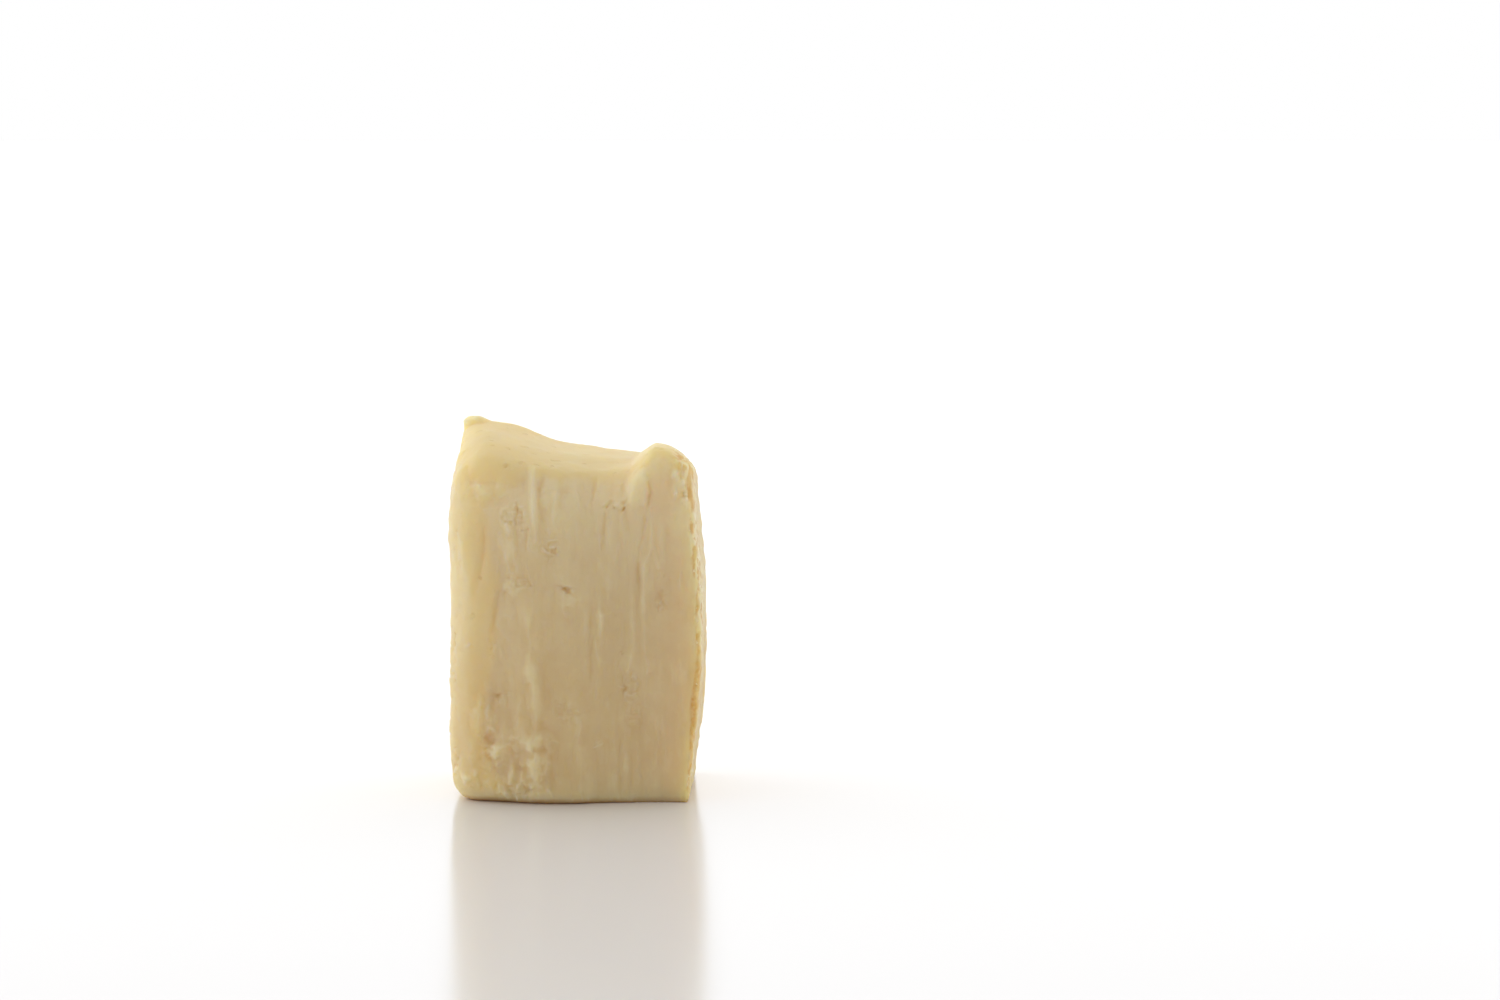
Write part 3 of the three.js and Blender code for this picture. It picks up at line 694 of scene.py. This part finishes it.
# The strip of the right face behind its front edge, where the knife left the block and tore
# it: how far back it ends, its lumps, which are drawn out along the height, how noise varies
# them, and their share on the rest of the face.
STRIP_BACK, STRIP_RAGGED = (-6.5, -0.5), ((1.5, 1.5, 47),)
STRIP_DEEP, STRIP_REST, STRIP_MEAN, STRIP_VARIED = 0.17, 0.2, 0.75, ((0.6, 2.3, 55),)
STRIP_LUMPS = ((1.0, (1.5, 1.5, 0.7), 0.7, 24), (0.5, (1.5, 1.5, 0.8), 0.33, 25))

# How squarely the surface has to look a way, from the first sign of a face's marks to all of
# them, and the same for the strip. Then the soft unevenness that lies everywhere, and the
# height over which all of the relief fades out at the foot.
FACING, STRIP_FACING = (0.3, 0.75), (0.2, 0.6)
UNEVENNESS, FOOT_FADE = ((0.07, 3.1, 21), (0.04, 1.3, 22), (0.03, 0.55, 23)), 0.5


def torn_strip(form):
    """Share from 0 to 1 of the torn strip, ending raggedly towards the back."""
    return 1 - ramp(form[:, 1] + noise_sum(form, STRIP_RAGGED), *STRIP_BACK)


def other_faces(normal):
    """The other cut faces: name, axes, seed and share, by how squarely the surface looks
    that way."""
    looks = {"back": normal[:, 1], "left": -normal[:, 0], "right": normal[:, 0]}
    for name, axes, seed in OTHER_FACES:
        yield name, axes, seed, ramp(looks[name], *FACING)


def block_relief(box, form, normal):
    """Height of the whole fine relief along the surface's normal: each face's own marks,
    weighted by how squarely the surface looks that way, and a soft unevenness everywhere."""
    x, z = form[:, 0], form[:, 2] - MARKS_UP
    knife = front_relief(x, z) + (drag_grain(x, z) - DRAG_STEP) * dragged_share(x, z)
    relief = ramp(-normal[:, 1], *FACING) * knife
    for name, axes, seed, share in other_faces(normal):
        relief += share * cut_face_relief(name, box, form, axes, seed)
    rough = sum(high * lumps(form * stretch, cell, seed)
                for high, stretch, cell, seed in STRIP_LUMPS)
    rough *= mix(STRIP_REST, 1, torn_strip(form)) * (STRIP_MEAN + noise_sum(form, STRIP_VARIED))
    relief += ramp(normal[:, 0], *STRIP_FACING) * STRIP_DEEP * rough
    return (relief + noise_sum(form, UNEVENNESS)) * ramp(form[:, 2], 0, FOOT_FADE)


# How far short of a cut face's rims its pale inside ends, and the noise that moves this.
CUT_MARGIN, CUT_WANDER = (0.6, 3.0), ((0.8, 2.5, 45), (0.5, 0.8, 46))


def cut_share(form, normal):
    """Share from 0 to 1 of the pale inside of the fudge on the back, left and right faces:
    full inside each face, and ending raggedly short of its rims."""
    total = np.zeros(len(form))
    upright = np.minimum(form[:, 2], HEIGHT - form[:, 2])
    for _, axes, _, share in other_faces(normal):
        inset = np.minimum(SPANS[axes[0]][1] - np.abs(form[:, axes[0]]), upright)
        total += share * ramp(inset + noise_sum(form, CUT_WANDER), *CUT_MARGIN)
    return total


def smoothed(values, edges, passes):
    """Values evened out over the mesh: each pass moves every point half-way to the mean of
    the points that it shares an edge with."""
    count = len(values)
    neighbours = np.bincount(edges.ravel(), minlength=count)
    for _ in range(passes):
        total = np.bincount(edges[:, 0], values[edges[:, 1]], count)
        total += np.bincount(edges[:, 1], values[edges[:, 0]], count)
        values = 0.5 * values + 0.5 * total / neighbours
    return values


def new_mesh(name, points, faces):
    """Mesh object at the origin from points in millimetres and lists of face corners."""
    mesh = bpy.data.meshes.new(name)
    mesh.from_pydata((np.asarray(points) * MM).tolist(), [], faces)
    mesh.polygons.foreach_set("use_smooth", np.ones(len(mesh.polygons), dtype=bool))
    mesh.update()
    piece = bpy.data.objects.new(name, mesh)
    bpy.context.scene.collection.objects.link(piece)
    return piece


def vertex_normals(mesh):
    """Unit normals of a mesh's vertices, as rows of an array."""
    normals = np.empty(len(mesh.vertices) * 3)
    mesh.vertex_normals.foreach_get("vector", normals)
    return normals.reshape(-1, 3)


def mark(mesh, name, values):
    """Store one number at each vertex, for the material to read."""
    mesh.attributes.new(name, "FLOAT", "POINT").data.foreach_set("value", values.astype(np.float32))


# The marks that the material reads. The tone is how far a point stands above or sinks below the
# surface near it, which some passes of smoothing give, and below the surface farther round; the
# material turns it into painted shade in hollows and painted highlights on raised spots.
# "dragged", "cut", "torn" and "edge" are the shares of the knife's drag, of the pale inside, of the
# orange of torn hollows together with a painted warm glow on the right face, and of painted glow
# on the rims and the margin, painted glints on the right face and pale flakes.
FINE_PASSES, BROAD_PASSES, FINE_SHARE, BROAD_SHARE = 26, 240, 0.78, 0.55
# Painted shade darkens the tone of upward faces, and a painted glow makes the horn's crumb paler.
TOP_LOOK, TOP_SHADE, HORN_GLOW = (0.3, 0.8), 0.02, 0.25
TOP_CUT_LOOK, TOP_CUT, TOP_CUT_VARIED = (0.4, 0.85), 0.38, ((0.5, 2.2, 54),)

# The orange on the right face, a painted warm glow of the light that comes through the fudge:
# how far back and up it goes, how it streaks, and how far across it shows round the front's
# right edge, by height.
GLOW_BACK, GLOW_BACK_RAGGED, GLOW_REST, GLOW_MOST = (-9.0, 0.5), ((1.0, 1.1, 49),), 0.15, 0.9
GLOW_HEIGHT, GLOW_UP, GLOW_LOOK, GLOW_EDGE_FADE = (13.0, 18.0), 0.8, (0.3, 0.7), 0.25
GLOW_STREAKS, STREAKS_STRETCH, STREAKS_FADE = (0.34, 50), (1, 1, 0.3), (-0.2, 0.2)
GLOW_WANDER, WANDER_STRETCH = ((0.15, 0.6, 48),), (1, 1, 0.5)
GLOW_EDGE = ((2.2, 3.0, 6.5, 10.5, 14.0, 18.5, 25.0, 33.0),
             (13.5, 11.2, 11.3, 11.5, 12.0, 12.2, 12.1, 12.4))

# Painted glow on the rims, where the surface turns from one face to the next below the top,
# painted glow on the margin that the knife's drag left, and painted glints in the streaks
# between the orange ones on the right face.
RIM, RIM_TOP, RIM_RIGHT = (0.12, 0.55), (-0.1, 0.4), (0.0, 0.2)
MARGIN_GLOW, MARGIN_TOP, FLAKE_PALE, STRIP_LOW = 0.6, (31.0, 35.0), 0.25, 0.4

lattice, block_quads, block_fives = block_lattice()
box_points = (lattice - (0.5, 0.5, 0.0)) * (WIDTH, DEPTH, HEIGHT)
form_points = block_form(box_points)
block = new_mesh("fudge_block", form_points, block_quads.tolist() + block_fives.tolist())
form_normals = vertex_normals(block.data)
relief = block_relief(box_points, form_points, form_normals)
horn_push = horn_crumb_push(form_points)
block_points = form_points + horn_push + form_normals * relief[:, None] + ORIGIN_SHIFT
block_points[:, 2] = np.maximum(block_points[:, 2], 0)
block.data.vertices.foreach_set("co", (block_points * MM).ravel())
block_edges = np.empty(len(block.data.edges) * 2, dtype=np.int64)
block.data.edges.foreach_get("vertices", block_edges)
# The tone: where the relief stands above its surroundings the material paints a highlight, where it
# sinks below them painted shade.
even = smoothed(relief, block_edges.reshape(-1, 2), FINE_PASSES)
evener = smoothed(even, block_edges.reshape(-1, 2), BROAD_PASSES)
tone_and_shade = FINE_SHARE * (relief - even) + BROAD_SHARE * (even - evener)
# Painted glow on the horn's crumb, and painted shade on upward faces.
tone_and_shade += HORN_GLOW * np.linalg.norm(horn_push, axis=1)
tone_and_shade -= TOP_SHADE * ramp(form_normals[:, 2], *TOP_LOOK)
mark(block.data, "tone_and_shade", tone_and_shade)

form_x, form_y, form_z = form_points.T
marks_z = form_z - MARKS_UP
front_look = ramp(-form_normals[:, 1], *FACING)
dragged = dragged_share(form_x, marks_z)
mark(block.data, "dragged", front_look * dragged)

top_cut = TOP_CUT * ramp(form_normals[:, 2], *TOP_CUT_LOOK)
top_cut *= 1 + noise_sum(form_points, TOP_CUT_VARIED)
mark(block.data, "cut", np.maximum(cut_share(form_points, form_normals), top_cut))

# Painted warm glow on the right face: strongest low down, in streaks higher up, and round the
# front's right edge.
streaks = ramp(cell_noise(form_points * STREAKS_STRETCH, *GLOW_STREAKS), *STREAKS_FADE)
below = 1 - ramp(form_z, *GLOW_HEIGHT)
glow_x = form_x + noise_sum(form_points * WANDER_STRETCH, GLOW_WANDER)
glow_over = front_look * ramp(glow_x - np.interp(form_z, *GLOW_EDGE), 0, GLOW_EDGE_FADE)
glow_over = np.maximum(ramp(form_normals[:, 0], *GLOW_LOOK), glow_over)
glow_back = 1 - ramp(form_y + noise_sum(form_points, GLOW_BACK_RAGGED), *GLOW_BACK)
torn = GLOW_MOST * glow_over * mix(GLOW_REST, mix(GLOW_UP * streaks, 1, below), glow_back)
# The tears' hollows take more orange, most at their floors.
for centre, half, _, lean, share in TEARS:
    hollow = np.clip(-pit(form_x, marks_z, centre, half, 1.0, lean), 0, 1)
    torn = np.maximum(torn, share * front_look * hollow)
mark(block.data, "torn", torn)

# Painted glow on the rims and on the margin beside the drag, painted glints in streaks on the right
# face, and pale flakes.
rim = ramp(np.sort(np.abs(form_normals), axis=1)[:, 1], *RIM)
rim *= 1 - ramp(form_normals[:, 2], *RIM_TOP)
rim *= 1 - ramp(form_normals[:, 0], *RIM_RIGHT) * torn_strip(form_points)
margin_glow = MARGIN_GLOW * front_look * (1 - dragged) * (1 - ramp(form_z, *MARGIN_TOP))
pale_flakes = FLAKE_PALE * front_look * flakes(form_x, marks_z)[1]
strip_glints = glow_over * glow_back * (1 - streaks) * mix(1, STRIP_LOW, below)
mark(block.data, "edge", np.maximum.reduce([rim, margin_glow, pale_flakes, strip_glints]))
block.data.update()


# Fudge seen close up: a grain of sugar crystals, slow clouds of paler and darker cream,
# painted highlights on lips and lumps, painted shade in hollows, pores and at the foot,
# orange in torn hollows, and painted glow on the rims, high on the face and on the right side.

def feed(tree, made, inputs):
    """Set a node's inputs to numbers or colours, or link them to the outputs given instead."""
    for name, value in inputs.items():
        if isinstance(value, bpy.types.NodeSocket):
            tree.links.new(value, made.inputs[name])
        else:
            made.inputs[name].default_value = value
    return made


def node(tree, kind, inputs=None, **settings):
    """New shader node with its settings and inputs."""
    made = tree.nodes.new(kind)
    for name, value in settings.items():
        setattr(made, name, value)
    return feed(tree, made, inputs or {})


def scaled(tree, value, factor, offset=0.0):
    """Value times factor plus offset."""
    inputs = {0: value, 1: factor, 2: offset}
    return node(tree, "ShaderNodeMath", inputs, operation="MULTIPLY_ADD").outputs["Value"]


def mapped(tree, value, low, high, highest):
    """Value turned from the range low to high into 0 to highest, clamped."""
    inputs = {"Value": value, "From Min": low, "From Max": high, "To Max": highest}
    return node(tree, "ShaderNodeMapRange", inputs).outputs["Result"]


def blended(tree, share, first, second):
    """Two colours blended by share."""
    inputs = {"Factor": share, "A": first, "B": second}
    return node(tree, "ShaderNodeMix", inputs, data_type="RGBA").outputs["Result"]


# Scale and detail of each noise, and how streaks and smears are drawn out. Then the pores:
# the scale of their cells, what bends these, how much chance adds to a pore, how sharp its
# edge is, and how far the drag clears pores away.
CLOUD_NOISE, STREAK_NOISE, SMEAR_NOISE = (190.0, 4.0), (1500.0, 3.0), (560.0, 3.0)
GRAIN_NOISE, SPECK_NOISE, NOISE_ROUGHNESS = (2600.0, 3.0), (1000.0, 2.0), 0.55
STREAK_STRETCH, SMEAR_STRETCH = (1, 1, 0.1), (1, 1, 0.6)
PORE_SCALE, PORE_BEND_SCALE, PORE_BEND = 620.0, 900.0, (0.0011, 0.0011, 0.0007)
PORE_LARGER, PORE_EDGE, DRAG_CLEARS = -0.24, (0.05, -0.06, 1.0), -0.85

# How much each noise adds to the tone, to the roughness and to the grain's height; the pores'
# share of the tone is painted shade in them. Then what the torn mark does to the tone and the
# grain, how much of the clouds shows on the skin, the least of the orange between its mottles,
# and the strength of the seam of skin where the drag ends.
STREAK_TONE, SMEAR_TONE, SPECK_TONE, PORE_TONE = 0.16, 0.28, 0.09, -0.12
SPECK_ROUGHNESS, SPECK_HEIGHT, STREAK_HEIGHT, PORE_HEIGHT = 0.2, 0.6, 5.0, -2.2
TORN_TONE, TORN_GRAIN, SKIN_CLOUDS, ORANGE_LEAST, SEAM_SHARE = -0.5, 1.8, 0.1, 0.5, 1.6

# Where each colour comes in: the value that it starts from, the value that brings it in
# fully, and its largest share. Parts are heights in metres, and the tones go by relief. The low
# part is painted shade, darker and warmer towards the foot, the high part is a painted glow high
# up the dragged face, and the foot part is painted shade in the crevice at the foot. Raised
# tones get a painted highlight, and sunken and deepest ones painted shade, all along with the
# grain's random tone.
CLOUDS, RIMS, MOTTLES = (0.36, 0.68, 0.4), (0.0, 1.0, 0.8), (0.42, 0.56, 0.5)
LOW_SHADE, HIGH_GLOW, FOOT_SHADE = (0.024, 0.008, 0.3), (0.024, 0.030, 0.6), (0.0007, 0.0, 0.8)
RAISED, SUNKEN, DEEPEST = (0.01, 0.15, 0.6), (-0.02, -0.26, 0.5), (-0.17, -0.4, 0.5)


def pore_mask(group, place, dragged):
    """Pores: round each cell's middle, within a distance that its random colour gives, and
    few of them where the knife dragged over them."""
    bend = node(group, "ShaderNodeTexNoise",
                {"Vector": place, "Scale": PORE_BEND_SCALE, "Detail": 1.0}).outputs["Color"]
    bent = node(group, "ShaderNodeVectorMath", {0: bend, 1: PORE_BEND, 2: place},
                operation="MULTIPLY_ADD").outputs["Vector"]
    cells = node(group, "ShaderNodeTexVoronoi", {"Vector": bent, "Scale": PORE_SCALE}).outputs
    chance = node(group, "ShaderNodeSeparateColor", {"Color": cells["Color"]}).outputs["Red"]
    inside = scaled(group, chance, PORE_LARGER, cells["Distance"])
    clear = scaled(group, dragged, DRAG_CLEARS, 1.0)
    return scaled(group, mapped(group, inside, *PORE_EDGE), clear)


def fudge_grain_group():
    """Node group with the fudge's colour, which includes painted light and shade, and its
    roughness and grain height over its surface.
    """
    group = bpy.data.node_groups.new("fudge_grain", "ShaderNodeTree")
    for kind, way, names in (
            ("Color", "INPUT", ("Cream", "Pale", "Tan_and_shade", "Skin", "Inside", "Deep_shade")),
            ("Float", "INPUT", ("Tone_and_shade", "Dragged", "Cut", "Torn", "Edge", "Roughness")),
            ("Color", "OUTPUT", ("Color",)), ("Float", "OUTPUT", ("Roughness", "Height"))):
        for name in names:
            group.interface.new_socket(name, in_out=way, socket_type="NodeSocket" + kind)
    given = node(group, "NodeGroupInput").outputs
    result = node(group, "NodeGroupOutput")
    dragged, torn = given["Dragged"], given["Torn"]
    place = node(group, "ShaderNodeTexCoord").outputs["Object"]
    streak_place, smear_place = [
        node(group, "ShaderNodeMapping", {"Vector": place, "Scale": stretch}).outputs["Vector"]
        for stretch in (STREAK_STRETCH, SMEAR_STRETCH)]
    up = node(group, "ShaderNodeSeparateXYZ", {0: place}).outputs["Z"]

    def noise(vector, scale, detail):
        inputs = {"Vector": vector, "Scale": scale, "Detail": detail, "Roughness": NOISE_ROUGHNESS}
        return node(group, "ShaderNodeTexNoise", inputs).outputs["Fac"]
    clouds = noise(place, *CLOUD_NOISE)
    streaks = noise(streak_place, *STREAK_NOISE)
    smears = noise(smear_place, *SMEAR_NOISE)
    grain = noise(place, *GRAIN_NOISE)
    specks = noise(place, *SPECK_NOISE)
    pores = pore_mask(group, place, dragged)

    streaked = scaled(group, streaks, STREAK_TONE, -STREAK_TONE / 2)
    smeared = scaled(group, smears, SMEAR_TONE, -SMEAR_TONE / 2)
    speckled = scaled(group, specks, SPECK_TONE, -SPECK_TONE / 2)
    tone_and_shade = scaled(group, streaked, dragged, given["Tone_and_shade"])
    tone_and_shade = scaled(group, smeared, dragged, tone_and_shade)
    tone_and_shade = scaled(group, speckled, 1.0, tone_and_shade)
    # Painted shade in the pores.
    tone_and_shade = scaled(group, pores, PORE_TONE, tone_and_shade)

    def over(colour, name, share):
        """The named colour laid over a colour by share."""
        return blended(group, share, colour, given[name])
    fresh = scaled(group, given["Cut"], 1.0, dragged)
    colour = over(given["Skin"], "Cream", fresh)
    cloudy = mapped(group, clouds, *CLOUDS)
    cloudy = scaled(group, cloudy, scaled(group, fresh, 1 - SKIN_CLOUDS, SKIN_CLOUDS))
    colour = over(colour, "Pale", cloudy)
    # Painted glow on rims and the margin, painted glints on the right face, and pale flakes.
    colour = over(colour, "Pale", mapped(group, given["Edge"], *RIMS))
    # Painted shade: darker and warmer towards the foot.
    colour = over(colour, "Tan_and_shade", mapped(group, up, *LOW_SHADE))
    # Painted glow: paler high up the dragged face.
    colour = over(colour, "Pale", scaled(group, mapped(group, up, *HIGH_GLOW), dragged))
    seam = scaled(group, dragged, scaled(group, dragged, -SEAM_SHARE, SEAM_SHARE))
    colour = over(colour, "Skin", seam)
    # The orange of torn hollows, and a painted warm glow on the right face.
    mottled = scaled(group, mapped(group, specks, *MOTTLES), 1.0, ORANGE_LEAST)
    colour = over(colour, "Inside", scaled(group, torn, mottled))
    raised = scaled(group, tone_and_shade, scaled(group, torn, TORN_TONE, 1.0))
    # Painted shade in the crevice where the block meets the table.
    colour = over(colour, "Inside", mapped(group, up, *FOOT_SHADE))
    # Painted highlight on raised spots, and painted shade in hollows, cracks and pores, each along
    # with the grain's random tone.
    colour = over(colour, "Pale", mapped(group, raised, *RAISED))
    colour = over(colour, "Tan_and_shade", mapped(group, tone_and_shade, *SUNKEN))
    colour = over(colour, "Deep_shade", mapped(group, tone_and_shade, *DEEPEST))

    rough = scaled(group, specks, SPECK_ROUGHNESS, given["Roughness"])
    rough = scaled(group, rough, 1.0, -SPECK_ROUGHNESS / 2)
    height = scaled(group, specks, SPECK_HEIGHT, grain)
    height = scaled(group, streaked, scaled(group, dragged, STREAK_HEIGHT), height)
    height = scaled(group, height, scaled(group, torn, TORN_GRAIN, 1.0))
    height = scaled(group, pores, PORE_HEIGHT, height)
    feed(group, result, {"Color": colour, "Roughness": rough, "Height": height})
    return group


# Refraction of the fudge, how far red, green and blue light spread in it as shares of its
# glow's depth, and how strongly its grain bends the light.
FUDGE_IOR, GLOW_RADIUS, GRAIN_STRENGTH = 1.46, (1.0, 0.85, 0.4), 0.6


def fudge_material(name, colours, roughness, gloss, grain_depth, glow, depth, marks=()):
    """Fudge: light sinks into it and comes back warmer, and its skin has a waxy sheen. Each
    mark is a socket of the grain group that reads the attribute of the same name."""
    material = bpy.data.materials.new(name)
    material.use_nodes = True
    tree = material.node_tree
    given = {socket: (*colour, 1) for socket, colour in colours.items()}
    for socket in marks:
        reader = node(tree, "ShaderNodeAttribute", attribute_name=socket.lower())
        given[socket] = reader.outputs["Fac"]
    grain = node(tree, "ShaderNodeGroup", node_tree=grain_group)
    feed(tree, grain, {**given, "Roughness": roughness})
    bumped = node(tree, "ShaderNodeBump", {
        "Strength": GRAIN_STRENGTH, "Distance": grain_depth, "Height": grain.outputs["Height"]})
    feed(tree, tree.nodes["Principled BSDF"], {
        "Base Color": grain.outputs["Color"], "Roughness": grain.outputs["Roughness"],
        "Normal": bumped.outputs["Normal"],
        "IOR": FUDGE_IOR, "Specular IOR Level": gloss, "Subsurface Weight": glow,
        "Subsurface Radius": GLOW_RADIUS, "Subsurface Scale": depth})
    return material


grain_group = fudge_grain_group()
# The tan, orange and deepest colours are partly painted shade; the orange is partly a painted glow.
FUDGE_COLOURS = {
    "Cream": (0.80, 0.635, 0.37), "Pale": (0.87, 0.735, 0.465), "Tan_and_shade": (0.70, 0.485, 0.21),
    "Skin": (0.87, 0.675, 0.305), "Inside": (0.66, 0.35, 0.11), "Deep_shade": (0.50, 0.38, 0.15),
}
block.data.materials.append(fudge_material(
    "fudge", FUDGE_COLOURS, roughness=0.55, gloss=0.1, grain_depth=0.06 * MM, glow=0.85,
    depth=4.6 * MM, marks=("Tone_and_shade", "Dragged", "Cut", "Torn", "Edge")))
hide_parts("fudge_square")
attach(block, "root")

# ---------------------------------------------------------------------------------------
# The crumbs: scraps of the same fudge that broke off under the knife and stick to its
# edges, painted paler than the block as a glow in place of the light that comes through them.
# ---------------------------------------------------------------------------------------

# The crumbs' number, sizes and depth in the block, and where they may sit: how sharp the edge
# is, how high it lies, and how far it looks to the back or the right.
CRUMB_COUNT, CRUMB_SIZE, CRUMB_SINK = 26, (0.08, 0.24), 0.35
CRUMB_EDGE, CRUMB_LOWEST, CRUMB_LOOK = 0.5, 0.6, 0.3

# The shape of a crumb: rings and points round its ball, its stretch, and its noise.
CRUMB_RINGS, CRUMB_AROUND, CRUMB_STRETCH = 7, 12, ((0.7, 0.7, 0.9), (1.1, 1.1, 1.7))
CRUMB_RAGGED, NOISE_SCALE, NOISE_AWAY = ((0.45, 1.0, 0), (0.2, 0.45, 1)), 1.2, (5, 90)
PLACE_SEED, SHAPE_SEED = 77, 900


def crumb_ball():
    """Unit ball as rings between two poles: its directions, quads and triangles."""
    polar = np.pi * np.arange(1, CRUMB_RINGS + 1) / (CRUMB_RINGS + 1)
    turn = 2 * np.pi * np.arange(CRUMB_AROUND) / CRUMB_AROUND
    ring = np.stack([np.outer(np.sin(polar), np.cos(turn)), np.outer(np.sin(polar), np.sin(turn)),
                     np.outer(np.cos(polar), np.ones(CRUMB_AROUND))], axis=-1).reshape(-1, 3)
    directions = np.concatenate([ring, [[0, 0, 1], [0, 0, -1]]])
    top, bottom = len(ring), len(ring) + 1
    here = np.arange(CRUMB_AROUND)
    beside = (here + 1) % CRUMB_AROUND
    last = (CRUMB_RINGS - 1) * CRUMB_AROUND
    faces = []
    for above in range(0, last, CRUMB_AROUND):
        below = above + CRUMB_AROUND
        quads = [above + here, below + here, below + beside, above + beside]
        faces += np.stack(quads, axis=1).tolist()
    faces += [[top, int(a), int(b)] for a, b in zip(here, beside)]
    faces += [[bottom, int(last + b), int(last + a)] for a, b in zip(here, beside)]
    return directions, faces


def ragged_crumb(directions, centre, size, number):
    """One crumb: the ball with its radius varied by noise, stretched, turned at random and
    brought to its size."""
    random = np.random.default_rng(SHAPE_SEED + number)
    turned, _ = np.linalg.qr(random.normal(size=(3, 3)))
    noise_place = directions * NOISE_SCALE + random.uniform(*NOISE_AWAY, 3)
    radius = 1 + noise_sum(noise_place, CRUMB_RAGGED, number)
    stretch = random.uniform(*CRUMB_STRETCH)
    return centre + (directions * radius[:, None] * stretch) @ turned * size


ball_directions, ball_faces = crumb_ball()
random = np.random.default_rng(PLACE_SEED)
side_look, depth_look, up_look = form_normals.T
on_edge = np.sort(np.abs(form_normals), axis=1)[:, 1] > CRUMB_EDGE
on_edge &= form_z > CRUMB_LOWEST
on_edge &= (depth_look > CRUMB_LOOK) | ((side_look > CRUMB_LOOK) & (up_look < CRUMB_LOOK))
crumb_points, crumb_faces = [], []
spots = random.choice(np.flatnonzero(on_edge), CRUMB_COUNT, replace=False)
for number, vertex in enumerate(spots):
    size = mix(*CRUMB_SIZE, random.random() ** 2)
    centre = block_points[vertex] - form_normals[vertex] * size * CRUMB_SINK
    crumb_points.append(ragged_crumb(ball_directions, centre, size, number))
    first = number * len(ball_directions)
    crumb_faces += [[corner + first for corner in face] for face in ball_faces]
crumbs = new_mesh("fudge_crumbs", np.concatenate(crumb_points), crumb_faces)
# Colours paler than the block's: a painted glow.
CRUMB_GLOW_COLOURS = {
    "Cream": (0.92, 0.76, 0.48), "Pale": (0.96, 0.83, 0.58), "Tan_and_shade": (0.80, 0.60, 0.32),
    "Skin": (0.92, 0.76, 0.48), "Inside": (0.80, 0.60, 0.32), "Deep_shade": (0.60, 0.48, 0.26),
}
crumbs.data.materials.append(fudge_material(
    "fudge_crumb", CRUMB_GLOW_COLOURS, roughness=0.5, gloss=0.2, grain_depth=0.03 * MM, glow=0.0,
    depth=0.35 * MM))
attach(crumbs, "root")

# ---------------------------------------------------------------------------------------
# The table: a sheet of glossy white plastic, lit from behind the sweet, in which it is
# mirrored softly.
# ---------------------------------------------------------------------------------------

TABLE_HALF, TABLE_COLOUR, TABLE_ROUGHNESS = 3000.0, (0.86, 0.85, 0.85, 1), 0.17
table_corners = [(-1, -1, 0), (1, -1, 0), (1, 1, 0), (-1, 1, 0)]
table = new_mesh("table", TABLE_HALF * np.array(table_corners), [(0, 1, 2, 3)])
table_finish = bpy.data.materials.new("table_gloss")
table_finish.use_nodes = True
feed(table_finish.node_tree, table_finish.node_tree.nodes["Principled BSDF"],
     {"Base Color": TABLE_COLOUR, "Roughness": TABLE_ROUGHNESS})
table.data.materials.append(table_finish)

# ---------------------------------------------------------------------------------------
# The light: a wide bright backdrop behind the sweet, which reaches round to both sides, and
# a weaker fill from the front. It is dimmer overhead.
# ---------------------------------------------------------------------------------------

# Each light comes in over a range of the direction, up to its strength.
BACKDROP, LEFT_SIDE, RIGHT_SIDE = (-0.35, 0.6, 1.2), (-0.45, -0.95, 1.38), (0.45, 0.95, 0.63)
FILL, OVERHEAD, UPWARD, WHITE = 0.32, 0.69, (0.3, 0.95, 1.0), (1, 1, 1, 1)
world = bpy.data.worlds.new("light_tent")
bpy.context.scene.world = world
world.use_nodes = True
tent = world.node_tree
around = node(tent, "ShaderNodeTexCoord").outputs["Generated"]
direction = node(tent, "ShaderNodeSeparateXYZ", {0: around}).outputs
behind = mapped(tent, direction["Y"], *BACKDROP)
to_left = mapped(tent, direction["X"], *LEFT_SIDE)
to_right = mapped(tent, direction["X"], *RIGHT_SIDE)
beside = scaled(tent, to_left, 1.0, to_right)
upward = mapped(tent, direction["Z"], *UPWARD)
strength = scaled(tent, behind, 1.0, scaled(tent, beside, 1.0, FILL))
strength = scaled(tent, strength, scaled(tent, upward, -1.0, 1.0), scaled(tent, upward, OVERHEAD))
tent_light = feed(tent, tent.nodes["Background"], {"Color": WHITE, "Strength": strength})
seen_white = node(tent, "ShaderNodeBackground", {"Color": WHITE, "Strength": 1.0})
either = node(tent, "ShaderNodeMixShader", {
    "Fac": node(tent, "ShaderNodeLightPath").outputs["Is Camera Ray"],
    1: tent_light.outputs["Background"], 2: seen_white.outputs["Background"]})
feed(tent, tent.nodes["World Output"], {"Surface": either.outputs["Shader"]})

# ---------------------------------------------------------------------------------------
# The camera: a 100 mm lens close above the table, looking slightly down.
# ---------------------------------------------------------------------------------------

LENS, SENSOR, NEAREST = 100.0, 36.0, 0.01
CAMERA_PLACE = (17.79, -429.64, 76.94)
CAMERA_PITCH = 6.2
camera_data = bpy.data.cameras.new("camera")
camera_data.lens = LENS
camera_data.sensor_width = SENSOR
camera_data.clip_start = NEAREST
camera = bpy.data.objects.new("camera", camera_data)
bpy.context.scene.collection.objects.link(camera)
camera.location = [value * MM for value in CAMERA_PLACE]
camera.rotation_euler = (np.radians(90 - CAMERA_PITCH), 0, 0)
bpy.context.scene.camera = camera
bpy.context.scene.view_settings.view_transform = "Standard"
